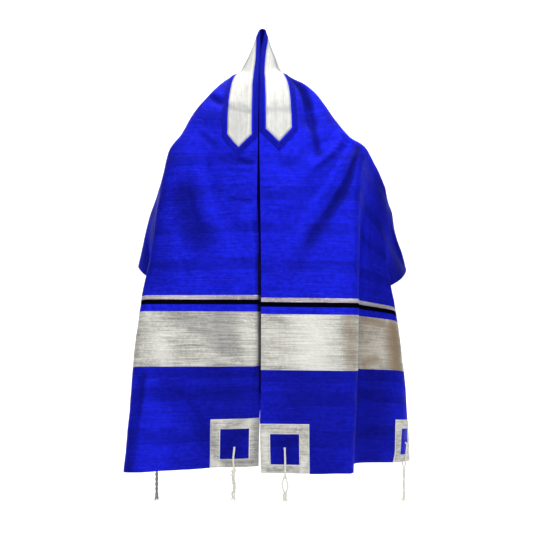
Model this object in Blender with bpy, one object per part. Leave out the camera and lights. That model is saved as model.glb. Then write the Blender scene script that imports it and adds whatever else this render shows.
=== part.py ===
# A narrow silk prayer shawl, hanging open from the middle of its neckband.
#
# The shawl is one long strip of cloth. Its long edge is held at the middle, so the two
# halves of that edge fall side by side down the front, the shoulders slope away from the
# held point, and the cloth between them hangs down the back to its lower long edge.
#
# A point of the flat cloth is (along, across). along runs from 0 at the middle of the
# neckband to half the cloth's length at each short hem, negative on the wearer's right.
# across runs from 0 at the neckband edge to the cloth's width at the lower long edge.
# The model is in metres, +Z up, front towards -Y, with the origin where it is held.

import math

import bpy
import bmesh
import numpy as np
from mathutils import Matrix, Vector

# Driving dimensions of the flat cloth
half_length = 0.960
cloth_width = 0.500
cloth_wall = 0.0015
trim_wall = 0.0010
seam_gap = 0.0003

# Stripes and bands, as distances from the middle of the neckband
white_stripe_start = 0.597
black_stripe_start = 0.606
blue_strip_start = 0.616
silver_band_start = 0.631
end_panel_start = 0.747

# Neckband, its blue border and its pointed ends
neckband_width = 0.054
neckband_border = 0.0135
neckband_half_length = 0.281
neckband_shift = -0.007
neckband_point = 0.027
border_point_extra = 0.019
point_steps = (0.0, 0.34, 0.67, 0.98)

# Corner frames and the holes that the tassels are looped through
frame_size = 0.102
frame_bar = 0.021
frame_hem_bar = 0.018
hole_size = 0.0068
hole_inset = 0.051
hole_heights = {
    "front_right": 0.051,
    "front_left": 0.041,
    "back_right": 0.046,
    "back_left": 0.046,
}

# Tassels
cord_radius = 0.0019
cord_clearance = 0.0006
knot_radius = 0.0046
end_radius = 0.0010
end_length = 0.010
end_turns = (0.4, 1.9, 3.3, 4.6, 5.7)
hem_drop = 0.003
hole_exit = 0.0036

# Mesh fineness, and extra grid lines where the cloth turns sharply
cell_along = 0.027
cell_across = 0.0235
normal_step = 0.0015
soft_edge_angle = 50
neck_lines = (0.004, 0.008, 0.014, 0.022, 0.034)
turn_lines = (0.188, 0.200, 0.212)

# Guides: lines that a draper would mark on the cloth, each with its place in the room.
# Each row gives how far along the cloth it is, how far across, and the point x, y, z.
# x is measured outwards from the middle on both sides.
right_guides = {
    "front_edge": [
        # along, across, x, y, z
        (0.000, 0.000, 0.0000, 0.000, 0.000),
        (0.008, 0.000, 0.0060, -0.001, -0.003),
        (0.022, 0.000, 0.0045, -0.005, -0.016),
        (0.050, 0.000, -0.0012, -0.014, -0.043),
        (0.090, 0.000, -0.0040, -0.028, -0.081),
        (0.150, 0.000, -0.0055, -0.049, -0.137),
        (0.254, 0.000, -0.0060, -0.068, -0.239),
        (0.400, 0.000, -0.0040, -0.070, -0.385),
        (0.580, 0.000, -0.0022, -0.070, -0.565),
        (0.780, 0.000, -0.0028, -0.070, -0.765),
        (0.860, 0.000, -0.0050, -0.070, -0.845),
        (0.960, 0.000, -0.0030, -0.070, -0.945),
    ],
    "shoulder_line": [
        (0.000, 0.004, 0.0000, 0.003, -0.001),
        (0.008, 0.009, 0.0080, 0.003, -0.006),
        (0.022, 0.017, 0.0130, 0.005, -0.020),
        (0.050, 0.032, 0.0218, 0.009, -0.041),
        (0.085, 0.051, 0.0306, 0.012, -0.064),
        (0.117, 0.069, 0.0378, 0.014, -0.084),
        (0.136, 0.084, 0.0580, 0.012, -0.093),
        (0.169, 0.112, 0.0950, 0.004, -0.113),
        (0.189, 0.128, 0.1160, -0.003, -0.133),
        (0.208, 0.144, 0.1340, -0.010, -0.160),
        (0.226, 0.159, 0.1510, -0.016, -0.188),
        (0.254, 0.187, 0.1800, -0.026, -0.227),
        (0.283, 0.221, 0.2180, -0.036, -0.262),
        (0.306, 0.212, 0.2100, -0.052, -0.287),
        (0.370, 0.204, 0.2030, -0.064, -0.355),
        (0.500, 0.204, 0.2010, -0.068, -0.487),
        (0.700, 0.203, 0.2000, -0.070, -0.687),
        (0.960, 0.195, 0.1900, -0.070, -0.947),
    ],
    "side_hollow": [
        (0.000, 0.105, 0.0000, 0.068, -0.079),
        (0.050, 0.130, 0.0420, 0.068, -0.114),
        (0.090, 0.162, 0.0740, 0.066, -0.164),
        (0.134, 0.205, 0.1230, 0.062, -0.204),
        (0.190, 0.258, 0.1760, 0.060, -0.262),
        (0.254, 0.300, 0.2340, 0.046, -0.306),
        (0.283, 0.305, 0.2600, 0.028, -0.312),
        (0.306, 0.298, 0.2440, 0.018, -0.324),
        (0.370, 0.292, 0.2270, 0.022, -0.376),
        (0.440, 0.300, 0.2180, 0.029, -0.440),
        (0.580, 0.308, 0.2120, 0.038, -0.571),
        (0.700, 0.312, 0.2080, 0.042, -0.693),
        (0.960, 0.310, 0.1990, 0.044, -0.950),
    ],
    "side_line": [
        (0.000, 0.330, 0.0000, 0.102, -0.300),
        (0.090, 0.350, 0.0960, 0.108, -0.347),
        (0.190, 0.358, 0.1920, 0.108, -0.350),
        (0.254, 0.364, 0.2600, 0.096, -0.350),
        (0.283, 0.368, 0.2840, 0.080, -0.350),
        (0.306, 0.366, 0.2840, 0.068, -0.364),
        (0.335, 0.362, 0.2790, 0.052, -0.390),
        (0.370, 0.360, 0.2670, 0.040, -0.425),
        (0.440, 0.370, 0.2750, 0.033, -0.480),
        (0.500, 0.385, 0.2890, 0.035, -0.528),
        (0.580, 0.405, 0.3040, 0.047, -0.590),
        (0.700, 0.418, 0.3180, 0.062, -0.700),
        (0.830, 0.420, 0.3260, 0.074, -0.832),
        (0.960, 0.412, 0.3120, 0.082, -0.957),
    ],
    "lower_edge": [
        (0.000, 0.500, 0.0000, 0.114, -0.469),
        (0.090, 0.500, 0.0900, 0.120, -0.496),
        (0.190, 0.500, 0.1900, 0.126, -0.490),
        (0.270, 0.500, 0.2720, 0.134, -0.496),
        (0.310, 0.500, 0.3100, 0.140, -0.503),
        (0.350, 0.500, 0.3340, 0.122, -0.516),
        (0.390, 0.500, 0.3200, 0.086, -0.536),
        (0.430, 0.500, 0.2880, 0.064, -0.556),
        (0.470, 0.500, 0.2560, 0.080, -0.573),
        (0.520, 0.500, 0.2500, 0.118, -0.592),
        (0.600, 0.500, 0.2800, 0.132, -0.638),
        (0.700, 0.500, 0.3140, 0.140, -0.722),
        (0.830, 0.500, 0.3410, 0.148, -0.844),
        (0.960, 0.500, 0.3500, 0.158, -0.971),
    ],
}

left_guides = {
    "front_edge": [
        (0.000, 0.000, 0.0000, 0.000, 0.000),
        (0.008, 0.000, 0.0052, -0.001, -0.003),
        (0.022, 0.000, 0.0050, -0.005, -0.016),
        (0.050, 0.000, 0.0045, -0.014, -0.043),
        (0.090, 0.000, 0.0062, -0.028, -0.081),
        (0.150, 0.000, 0.0074, -0.049, -0.137),
        (0.254, 0.000, 0.0085, -0.068, -0.237),
        (0.400, 0.000, 0.0105, -0.072, -0.380),
        (0.500, 0.000, -0.0005, -0.053, -0.479),
        (0.600, 0.000, -0.0012, -0.052, -0.580),
        (0.720, 0.000, -0.0008, -0.053, -0.699),
        (0.780, 0.000, -0.0004, -0.059, -0.754),
        (0.860, 0.000, 0.0056, -0.066, -0.833),
        (0.960, 0.000, 0.0074, -0.069, -0.931),
    ],
    "edge_turn": [
        (0.000, 0.002, 0.0000, 0.001, 0.000),
        (0.008, 0.004, 0.0065, 0.001, -0.004),
        (0.022, 0.008, 0.0090, -0.001, -0.018),
        (0.050, 0.016, 0.0140, -0.005, -0.046),
        (0.090, 0.024, 0.0215, -0.014, -0.085),
        (0.150, 0.024, 0.0300, -0.040, -0.137),
        (0.254, 0.024, 0.0324, -0.065, -0.237),
        (0.400, 0.024, 0.0335, -0.072, -0.380),
        (0.500, 0.024, 0.0134, -0.075, -0.479),
        (0.600, 0.024, 0.0134, -0.076, -0.580),
        (0.720, 0.024, 0.0136, -0.076, -0.699),
        (0.780, 0.024, 0.0180, -0.077, -0.754),
        (0.860, 0.024, 0.0290, -0.077, -0.833),
        (0.960, 0.024, 0.0312, -0.077, -0.931),
    ],
    "shoulder_line": [
        (0.000, 0.004, 0.0000, 0.003, -0.001),
        (0.008, 0.009, 0.0080, 0.003, -0.006),
        (0.022, 0.017, 0.0140, 0.005, -0.021),
        (0.050, 0.033, 0.0240, 0.009, -0.042),
        (0.085, 0.052, 0.0360, 0.012, -0.065),
        (0.117, 0.069, 0.0470, 0.014, -0.085),
        (0.133, 0.082, 0.0660, 0.012, -0.093),
        (0.149, 0.094, 0.0830, 0.009, -0.104),
        (0.176, 0.115, 0.1090, 0.003, -0.128),
        (0.205, 0.136, 0.1320, -0.006, -0.156),
        (0.228, 0.153, 0.1500, -0.013, -0.183),
        (0.256, 0.176, 0.1710, -0.021, -0.224),
        (0.285, 0.197, 0.1985, -0.030, -0.262),
        (0.330, 0.198, 0.2050, -0.046, -0.312),
        (0.400, 0.209, 0.2190, -0.057, -0.388),
        (0.500, 0.240, 0.2330, -0.064, -0.486),
        (0.600, 0.262, 0.2520, -0.068, -0.580),
        (0.720, 0.274, 0.2670, -0.071, -0.698),
        (0.860, 0.276, 0.2790, -0.072, -0.840),
        (0.960, 0.284, 0.2900, -0.072, -0.944),
    ],
    "side_hollow": [
        (0.000, 0.105, 0.0000, 0.068, -0.079),
        (0.050, 0.130, 0.0420, 0.068, -0.114),
        (0.090, 0.162, 0.0740, 0.066, -0.164),
        (0.134, 0.202, 0.1230, 0.062, -0.201),
        (0.190, 0.250, 0.1700, 0.060, -0.256),
        (0.254, 0.276, 0.2080, 0.048, -0.300),
        (0.330, 0.274, 0.2260, 0.012, -0.350),
        (0.400, 0.290, 0.2340, 0.012, -0.421),
        (0.500, 0.318, 0.2400, 0.008, -0.511),
        (0.600, 0.335, 0.2540, 0.002, -0.601),
        (0.720, 0.344, 0.2700, -0.002, -0.712),
        (0.860, 0.348, 0.2780, -0.002, -0.849),
        (0.960, 0.354, 0.2860, -0.002, -0.946),
    ],
    "side_line": [
        (0.000, 0.330, 0.0000, 0.102, -0.300),
        (0.090, 0.350, 0.0960, 0.108, -0.347),
        (0.190, 0.366, 0.1840, 0.110, -0.360),
        (0.254, 0.370, 0.2300, 0.096, -0.378),
        (0.330, 0.374, 0.2600, 0.078, -0.410),
        (0.400, 0.385, 0.2560, 0.068, -0.474),
        (0.500, 0.402, 0.2500, 0.064, -0.562),
        (0.600, 0.412, 0.2500, 0.072, -0.636),
        (0.720, 0.418, 0.2600, 0.070, -0.735),
        (0.860, 0.422, 0.2570, 0.070, -0.860),
        (0.960, 0.426, 0.2520, 0.068, -0.950),
    ],
    "lower_edge": [
        (0.000, 0.500, 0.0000, 0.114, -0.469),
        (0.090, 0.500, 0.0900, 0.120, -0.496),
        (0.190, 0.500, 0.1880, 0.126, -0.488),
        (0.250, 0.500, 0.2460, 0.136, -0.491),
        (0.290, 0.500, 0.2800, 0.136, -0.498),
        (0.325, 0.500, 0.2880, 0.110, -0.507),
        (0.370, 0.500, 0.2720, 0.074, -0.526),
        (0.410, 0.500, 0.2420, 0.058, -0.546),
        (0.450, 0.500, 0.2150, 0.078, -0.565),
        (0.500, 0.500, 0.2080, 0.118, -0.586),
        (0.580, 0.500, 0.2220, 0.136, -0.646),
        (0.720, 0.500, 0.2340, 0.140, -0.755),
        (0.860, 0.500, 0.2270, 0.134, -0.868),
        (0.960, 0.500, 0.2200, 0.130, -0.953),
    ],
}

# How softly the cloth turns at each inner guide, as half the width of the bend
bends = {
    "edge_turn": 0.006,
    "shoulder_line": 0.018,
    "side_hollow": 0.030,
    "side_line": 0.030,
}

# Large soft folds: side, start and end on the cloth, half width and height of the fold
folds = [
    # side, along0, across0, along1, across1, half_width, height
    ("right", 0.275, 0.190, 0.430, 0.085, 0.026, -0.0090),
    ("right", 0.265, 0.155, 0.330, 0.060, 0.022, -0.0050),
    ("right", 0.158, 0.088, 0.235, 0.108, 0.015, -0.0070),
    ("right", 0.380, 0.030, 0.560, 0.040, 0.030, 0.0040),
    ("right", 0.790, 0.170, 0.960, 0.110, 0.034, 0.0060),
    ("right", 0.760, 0.330, 0.930, 0.390, 0.026, 0.0060),
    ("right", 0.300, 0.400, 0.318, 0.460, 0.034, 0.0080),
    ("left", 0.194, 0.112, 0.200, 0.090, 0.011, -0.0050),
    ("left", 0.330, 0.110, 0.480, 0.060, 0.030, -0.0045),
    ("left", 0.820, 0.150, 0.960, 0.090, 0.034, -0.0070),
    ("left", 0.740, 0.090, 0.900, 0.170, 0.034, 0.0050),
    ("left", 0.880, 0.265, 0.960, 0.240, 0.030, 0.0060),
]

# Long soft waves down the back, as x across the back: centre, half width and depth
back_waves = [
    # along, half_width, depth
    (0.060, 0.030, 0.0080),
    (0.165, 0.034, -0.0090),
    (0.245, 0.026, 0.0060),
    (-0.070, 0.034, 0.0090),
    (-0.160, 0.030, -0.0070),
    (-0.235, 0.026, 0.0060),
]
back_wave_start = 0.16
back_wave_full = 0.42


def smooth_step(value):
    """0 below 0, 1 above 1, and a smooth rise between."""
    t = np.clip(value, 0.0, 1.0)
    return t * t * (3.0 - 2.0 * t)


def curve_through(knots, values, at):
    """A smooth curve through the knots that doesn't swing past them."""
    knots = np.asarray(knots, float)
    values = np.asarray(values, float)
    steps = np.diff(knots)
    slopes = np.diff(values) / steps
    tangents = np.zeros_like(values)
    same_way = slopes[:-1] * slopes[1:] > 0
    weight_a = 2 * steps[1:] + steps[:-1]
    weight_b = steps[1:] + 2 * steps[:-1]
    with np.errstate(divide="ignore", invalid="ignore"):
        middle = (weight_a + weight_b) / (weight_a / slopes[:-1] + weight_b / slopes[1:])
    tangents[1:-1] = np.where(same_way, middle, 0.0)
    tangents[0] = slopes[0]
    tangents[-1] = slopes[-1]
    span = np.clip(np.searchsorted(knots, at) - 1, 0, len(steps) - 1)
    t = (at - knots[span]) / steps[span]
    return (
        values[span] * (1 + 2 * t) * (1 - t) ** 2
        + tangents[span] * steps[span] * t * (1 - t) ** 2
        + values[span + 1] * t * t * (3 - 2 * t)
        + tangents[span + 1] * steps[span] * t * t * (t - 1)
    )


def soft_ramp(distance, half_width):
    """0 before a bend and distance after it, with a parabola where it turns."""
    inside = (distance + half_width) ** 2 / (4 * half_width)
    return np.where(
        distance < -half_width, 0.0, np.where(distance > half_width, distance, inside)
    )


def side_surface(guides, along, across):
    """The draped cloth on one side, x outwards: straight runs between the guides, with a
    soft bend at each."""
    marks = []
    points = []
    for rows in guides.values():
        knots, *columns = zip(*rows)
        mark, *point = [curve_through(knots, column, along) for column in columns]
        marks.append(mark)
        points.append(np.stack(point, axis=-1))
    runs = [
        (points[i + 1] - points[i]) / (marks[i + 1] - marks[i])[..., None]
        for i in range(len(points) - 1)
    ]
    result = points[0] + runs[0] * across[..., None]
    for i, name in list(enumerate(guides))[1:-1]:
        room = np.minimum(marks[i] - marks[i - 1], marks[i + 1] - marks[i])
        half_width = np.minimum(bends[name], 0.85 * room)
        turn = soft_ramp(across - marks[i], half_width)
        result = result + (runs[i] - runs[i - 1]) * turn[..., None]
    return result


def plain_drape(along, across):
    """The draped cloth before its folds, for arrays of points on the flat cloth."""
    distance = np.abs(along)
    right = side_surface(right_guides, distance, across)
    left = side_surface(left_guides, distance, across)
    left = left * np.array([-1.0, 1.0, 1.0])
    return np.where((along >= 0)[..., None], right, left)


def outward(surface, along, across):
    """Unit normals of a draped surface, pointing out of the garment."""
    low_a = np.maximum(along - normal_step, -half_length)
    high_a = np.minimum(along + normal_step, half_length)
    low_c = np.maximum(across - normal_step, 0.0)
    high_c = np.minimum(across + normal_step, cloth_width)
    by_along = surface(high_a, across) - surface(low_a, across)
    by_across = surface(along, high_c) - surface(along, low_c)
    normal = np.cross(by_along, by_across)
    length = np.linalg.norm(normal, axis=-1, keepdims=True)
    return normal / np.maximum(length, 1e-12)


def fold_height(along, across):
    """Height of the large folds and the back waves above the plain drape."""
    height = np.zeros_like(along)
    for side, along0, across0, along1, across1, half_width, rise in folds:
        sign = 1.0 if side == "right" else -1.0
        a0, a1 = along0 * sign, along1 * sign
        length2 = (a1 - a0) ** 2 + (across1 - across0) ** 2
        t = ((along - a0) * (a1 - a0) + (across - across0) * (across1 - across0)) / length2
        t_on = np.clip(t, 0.0, 1.0)
        off_a = along - (a0 + t_on * (a1 - a0))
        off_c = across - (across0 + t_on * (across1 - across0))
        off = np.sqrt(off_a**2 + off_c**2) / (half_width * (0.65 + 0.6 * t_on))
        height = height + rise * np.exp(-(off**2) * 1.6)
    lower = smooth_step((across - back_wave_start) / (back_wave_full - back_wave_start))
    for centre, half_width, depth in back_waves:
        height = height + depth * lower * np.exp(-(((along - centre) / half_width) ** 2))
    return height


def draped(along, across):
    """The draped cloth with its folds: the outer face of the main cloth."""
    lift = fold_height(along, across)[..., None]
    return plain_drape(along, across) + outward(plain_drape, along, across) * lift


def cloth_point(along, across, lift):
    """A point of the room, lifted out of the cloth's outer face."""
    along = np.asarray(along, float)
    across = np.asarray(across, float)
    return draped(along, across) + outward(draped, along, across) * lift


def lines(start, stop, cell, marks=()):
    """Grid lines from start to stop, no wider than a cell, that pass through the marks."""
    stops = sorted({start, stop, *[m for m in marks if start < m < stop]})
    made = [start]
    for a, b in zip(stops[:-1], stops[1:]):
        count = max(1, math.ceil((b - a) / cell - 1e-6))
        made.extend(a + (b - a) * i / count for i in range(1, count + 1))
    return np.array(made)


def material(name, colour, roughness):
    made = bpy.data.materials.new(name)
    made.use_nodes = True
    shader = made.node_tree.nodes["Principled BSDF"]
    shader.inputs["Base Color"].default_value = (*colour, 1.0)
    shader.inputs["Roughness"].default_value = roughness
    shader.inputs["Metallic"].default_value = 0.0
    return made


def cloth_wall_object(name, rows, columns, low, high, finish, keep=None):
    """A closed wall over cloth points, from lift low to lift high. rows holds how far
    along the cloth each row is, and columns how far across, as a list or a whole grid.
    Cells that keep marks false are left out, and the wall is closed round them."""
    columns = np.asarray(columns, float)
    if columns.ndim == 1:
        columns = np.tile(columns, (len(rows), 1))
    across_count = columns.shape[1]
    along = np.repeat(np.asarray(rows, float)[:, None], across_count, axis=1)
    if keep is None:
        keep = np.ones((len(rows) - 1, across_count - 1), bool)
    top = cloth_point(along, columns, high).reshape(-1, 3)
    bottom = cloth_point(along, columns, low).reshape(-1, 3)
    count = len(top)
    faces = []
    edge_uses = {}
    for i, j in zip(*np.nonzero(keep)):
        first = int(i * across_count + j)
        corners = [first, first + 1, first + across_count + 1, first + across_count]
        for face in (corners[:3], [corners[0], *corners[2:]]):
            faces.append(face)
            faces.append([corner + count for corner in reversed(face)])
        for a, b in zip(corners, corners[1:] + corners[:1]):
            edge_uses.setdefault((min(a, b), max(a, b)), []).append((a, b))
    for (first, last), uses in edge_uses.items():
        if len(uses) == 1:
            a, b = uses[0]
            faces.append([b, a, first + count])
            faces.append([a + count, b + count, last])
    mesh = bpy.data.meshes.new(name)
    mesh.from_pydata(np.vstack([top, bottom]).tolist(), [], faces)
    work = bmesh.new()
    work.from_mesh(mesh)
    loose = [v for v in work.verts if not v.link_faces]
    bmesh.ops.delete(work, geom=loose, context="VERTS")
    bmesh.ops.recalc_face_normals(work, faces=work.faces)
    work.to_mesh(mesh)
    work.free()
    mesh.materials.append(finish)
    mesh.shade_smooth()
    mesh.set_sharp_from_angle(angle=math.radians(soft_edge_angle))
    made = bpy.data.objects.new(name, mesh)
    bpy.context.scene.collection.objects.link(made)
    return made


def cells_within(lines_at, low, high):
    """Which cells between the grid lines lie between low and high."""
    middles = (lines_at[:-1] + lines_at[1:]) / 2
    return (middles > low) & (middles < high)


def piece_rows(start, stop, marks=()):
    """Grid rows of a piece of the main cloth, half a seam's gap short at each seam."""
    trim = seam_gap / 2
    start += trim if abs(start) < half_length else 0.0
    stop -= trim if abs(stop) < half_length else 0.0
    return lines(start, stop, cell_along, marks)


def end_panel(name, rows, finish, side):
    """The piece at a short hem, with a small square hole for each tassel."""
    keep = np.ones((len(rows) - 1, len(cloth_columns) - 1), bool)
    half = hole_size / 2
    side_name = "right" if side > 0 else "left"
    for place, across in (("front", hole_inset), ("back", cloth_width - hole_inset)):
        centre = side * (half_length - hole_heights[f"{place}_{side_name}"])
        in_row = cells_within(rows, centre - half, centre + half)
        keep &= ~np.outer(in_row, cells_within(cloth_columns, across - half, across + half))
    return cloth_wall_object(name, rows, cloth_columns, -cloth_wall, 0.0, finish, keep)


def pointed_band(name, half_total, point, near, far, low, high, finish):
    """A band along the neck edge, from near to far across the cloth, with a point at each
    end. It follows the main cloth's own grid lines, and each tip is a millimetre wide."""
    shoulder = half_total - point
    inside = [row for row in main_rows if abs(row - neckband_shift) < shoulder - 1e-6]
    ends = [shoulder + point * t for t in point_steps]
    low_end = [neckband_shift - end for end in reversed(ends)]
    rows = np.array(low_end + inside + [neckband_shift + end for end in ends])
    columns = cloth_columns[(cloth_columns > near - 1e-6) & (cloth_columns < far + 1e-6)]
    middle = (near + far) / 2
    left_over = np.clip((half_total - np.abs(rows - neckband_shift)) / point, 0.0, 1.0)
    columns = middle + left_over[:, None] * (columns - middle)[None, :]
    return cloth_wall_object(name, rows, columns, low, high, finish)


def corner_frame(name, rows, side, far_corner, finish):
    """A square frame sewn round a corner of the cloth, on the end panel's grid lines."""
    edge = side * half_length
    start = side * (half_length - frame_size)
    rows = rows[(rows > min(start, edge) - 1e-6) & (rows < max(start, edge) + 1e-6)]
    first = cloth_width - frame_size if far_corner else 0.0
    in_frame = (cloth_columns > first - 1e-6) & (cloth_columns < first + frame_size + 1e-6)
    columns = cloth_columns[in_frame]
    window = sorted((start + side * frame_bar, edge - side * frame_hem_bar))
    in_row = cells_within(rows, *window)
    in_column = cells_within(columns, first + frame_bar, first + frame_size - frame_bar)
    keep = ~np.outer(in_row, in_column)
    low, high = seam_gap, seam_gap + trim_wall
    return cloth_wall_object(name, rows, columns, low, high, finish, keep)


def curve_points(points, count):
    """Evenly spread points on a smooth curve through the given points."""
    points = np.asarray(points, float)
    ends = 2 * points[0] - points[1], 2 * points[-1] - points[-2]
    points = np.vstack([ends[0], points, ends[1]])
    t = np.linspace(0.0, 1.0, 24)[:-1, None]
    made = []
    for p0, p1, p2, p3 in zip(points[:-3], points[1:-2], points[2:-1], points[3:]):
        straight = 2 * p1 + (p2 - p0) * t
        bend = (2 * p0 - 5 * p1 + 4 * p2 - p3) * t**2 + (3 * p1 - p0 - 3 * p2 + p3) * t**3
        made.append(0.5 * (straight + bend))
    made = np.vstack([*made, points[-2]])
    reach = np.concatenate([[0.0], np.cumsum(np.linalg.norm(np.diff(made, axis=0), axis=1))])
    at = np.linspace(0.0, reach[-1], count)
    return np.stack([np.interp(at, reach, made[:, k]) for k in range(3)], axis=1)


def tube_mesh(name, path, radius, sides):
    """A tube with flat ends along a path, as a ring of corners at each point."""
    path = np.asarray(path, float)
    count = len(path)
    ahead = np.gradient(path, axis=0)
    ahead /= np.linalg.norm(ahead, axis=1, keepdims=True)
    frame_side = np.cross(ahead[0], (0.31, 0.88, 0.36))
    turns = [2 * math.pi * k / sides for k in range(sides)]
    rings = []
    for centre, forward in zip(path, ahead):
        frame_side = frame_side - forward * (frame_side @ forward)
        frame_side /= np.linalg.norm(frame_side)
        frame_up = np.cross(forward, frame_side)
        for turn in turns:
            spoke = math.cos(turn) * frame_side + math.sin(turn) * frame_up
            rings.append(centre + radius * spoke)
    faces = [list(range(sides))[::-1], list(range((count - 1) * sides, count * sides))]
    for i in range(count - 1):
        a, b = i * sides, (i + 1) * sides
        for k in range(sides):
            m = (k + 1) % sides
            faces.append([a + k, a + m, b + m, b + k])
    mesh = bpy.data.meshes.new(name)
    mesh.from_pydata([tuple(p) for p in rings], [], faces)
    work = bmesh.new()
    work.from_mesh(mesh)
    bmesh.ops.recalc_face_normals(work, faces=work.faces)
    work.to_mesh(mesh)
    work.free()
    return mesh


def fused(name, meshes, finish):
    """One closed body: the union of the meshes, each of which overlaps the first."""
    parts = []
    for i, mesh in enumerate(meshes):
        piece = bpy.data.objects.new(f"{name}_{i}" if i else name, mesh)
        bpy.context.scene.collection.objects.link(piece)
        parts.append(piece)
    for other in parts[1:]:
        join = parts[0].modifiers.new(other.name, "BOOLEAN")
        join.operation = "UNION"
        join.solver = "EXACT"
        join.object = other
    bpy.context.view_layer.update()
    result = parts[0].evaluated_get(bpy.context.evaluated_depsgraph_get())
    mesh = bpy.data.meshes.new_from_object(result)
    parts[0].modifiers.clear()
    parts[0].data = mesh
    for other in parts[1:]:
        bpy.data.objects.remove(other)
    mesh.materials.clear()
    mesh.materials.append(finish)
    mesh.shade_smooth()
    mesh.set_sharp_from_angle(angle=math.radians(soft_edge_angle))
    return parts[0]


def tassel(name, side, far_corner, height, sway, length, finish):
    """A cord looped through the corner's hole and round the hem, knotted at the bottom,
    with short loose ends. sway gives how far the two runs spread from the middle."""
    inset = cloth_width - hole_inset if far_corner else hole_inset
    front = seam_gap + trim_wall + seam_gap + cord_radius + cord_clearance
    back = -cloth_wall - seam_gap - cord_radius - cord_clearance

    def on_cloth(below_hole, spread, lift):
        """A point of the cord on a face of the cloth, below the hole towards the hem."""
        return cloth_point(side * (half_length - height + below_hole), inset + spread, lift)

    middle = on_cloth(0.0, 0.0, (front + back) / 2)
    out = outward(draped, np.array(side * (half_length - height)), np.array(inset))
    across_way = np.cross(out, (0.0, 0.0, 1.0))
    across_way /= np.linalg.norm(across_way)
    down = np.array([0.0, 0.0, -1.0])
    first, second = sway
    hem_front = on_cloth(height, first * 0.5, front)
    hem_back = on_cloth(height, second * 0.5, back)
    bottom = (hem_front + hem_back) / 2 + down * (length - height)
    bottom = bottom + across_way * (first + second) / 4
    knot_front = bottom + out * 0.45 * knot_radius
    knot_back = bottom - out * 0.45 * knot_radius
    route = [
        knot_front,
        (hem_front + knot_front) / 2 + across_way * first * 0.6,
        hem_front + down * hem_drop,
        on_cloth(0.55 * height, first * 0.3, front),
        on_cloth(hole_exit, 0.0, front),
        middle,
        on_cloth(hole_exit, 0.0, back),
        on_cloth(0.55 * height, second * 0.3, back),
        hem_back + down * hem_drop,
        (hem_back + knot_back) / 2 + across_way * second * 0.6,
        knot_back,
    ]
    loop = tube_mesh(name, curve_points(route, 44), cord_radius, 4)
    knot = bpy.data.meshes.new(name)
    work = bmesh.new()
    bmesh.ops.create_icosphere(
        work,
        subdivisions=2,
        radius=knot_radius,
        matrix=Matrix.Translation(Vector(bottom)) @ Matrix.Diagonal((1.0, 0.85, 1.15, 1.0)),
    )
    work.to_mesh(knot)
    work.free()
    pieces = [knot, loop]
    for turn in end_turns:
        spread = across_way * math.cos(turn) + out * math.sin(turn)
        start = bottom + spread * 0.0010
        steps = (0.0, 0.5, 1.0)
        tip = [
            start
            + down * (knot_radius + end_length) * t
            + spread * (0.0012 + 0.0022 * t) * t
            for t in steps
        ]
        pieces.append(tube_mesh(name, tip, end_radius, 4))
    return fused(name, pieces, finish)


for old in list(bpy.data.objects):
    bpy.data.objects.remove(old)

blue_silk = material("blue_silk", (0.010, 0.018, 0.55), 0.48)
silver_silk = material("silver_silk", (0.60, 0.59, 0.54), 0.40)
ivory_silk = material("ivory_silk", (0.82, 0.82, 0.77), 0.42)
black_ribbon = material("black_ribbon", (0.004, 0.004, 0.012), 0.45)
white_wool = material("white_wool", (0.80, 0.79, 0.70), 0.80)

# Grid lines across the cloth, shared by every piece so that its seams and trims match
frame_lines = [frame_bar, frame_size - frame_bar, frame_size]
frame_lines += [hole_inset - hole_size / 2, hole_inset + hole_size / 2]
band_lines = [neckband_border, neckband_border + neckband_width]
across_marks = [*band_lines, *turn_lines, *frame_lines]
across_marks += [cloth_width - at for at in frame_lines]
cloth_columns = lines(0.0, cloth_width, cell_across, across_marks)

# The main cloth: back and shoulders in one, then the stripes, bands and end panels
border_half_length = neckband_half_length + border_point_extra
border_point = neckband_point + neckband_border
neck_marks = [0.0, *neck_lines, *[-at for at in neck_lines]]
for reach in (neckband_half_length - neckband_point, border_half_length - border_point):
    neck_marks += [neckband_shift - reach, neckband_shift + reach]
main_rows = piece_rows(-white_stripe_start, white_stripe_start, neck_marks)
cloth_wall_object("main_cloth", main_rows, cloth_columns, -cloth_wall, 0.0, blue_silk)

strips = [
    ("white_stripe", white_stripe_start, black_stripe_start, ivory_silk),
    ("black_stripe", black_stripe_start, blue_strip_start, black_ribbon),
    ("blue_strip", blue_strip_start, silver_band_start, blue_silk),
    ("silver_band", silver_band_start, end_panel_start, silver_silk),
]
end_rows = {}
for side_name, side in (("right", 1), ("left", -1)):
    for piece_name, start, stop, finish in strips:
        rows = piece_rows(*sorted((side * start, side * stop)))
        name = f"{piece_name}_{side_name}"
        cloth_wall_object(name, rows, cloth_columns, -cloth_wall, 0.0, finish)
    ends = sorted((side * end_panel_start, side * half_length))
    end_marks = [frame_size, frame_size - frame_bar, frame_hem_bar]
    for place in ("front", "back"):
        at = hole_heights[f"{place}_{side_name}"]
        end_marks += [at - hole_size / 2, at + hole_size / 2]
    marks = [side * (half_length - at) for at in end_marks]
    end_rows[side] = piece_rows(*ends, marks)
    end_panel(f"end_panel_{side_name}", end_rows[side], blue_silk, side)

# The neckband: a blue border with an ivory band on it
border_low = seam_gap
border_high = seam_gap + trim_wall
pointed_band(
    "neckband_border",
    border_half_length,
    border_point,
    0.0,
    neckband_width + 2 * neckband_border,
    border_low,
    border_high,
    blue_silk,
)
pointed_band(
    "neckband",
    neckband_half_length,
    neckband_point,
    neckband_border,
    neckband_border + neckband_width,
    border_high + seam_gap,
    border_high + seam_gap + trim_wall,
    ivory_silk,
)

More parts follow.
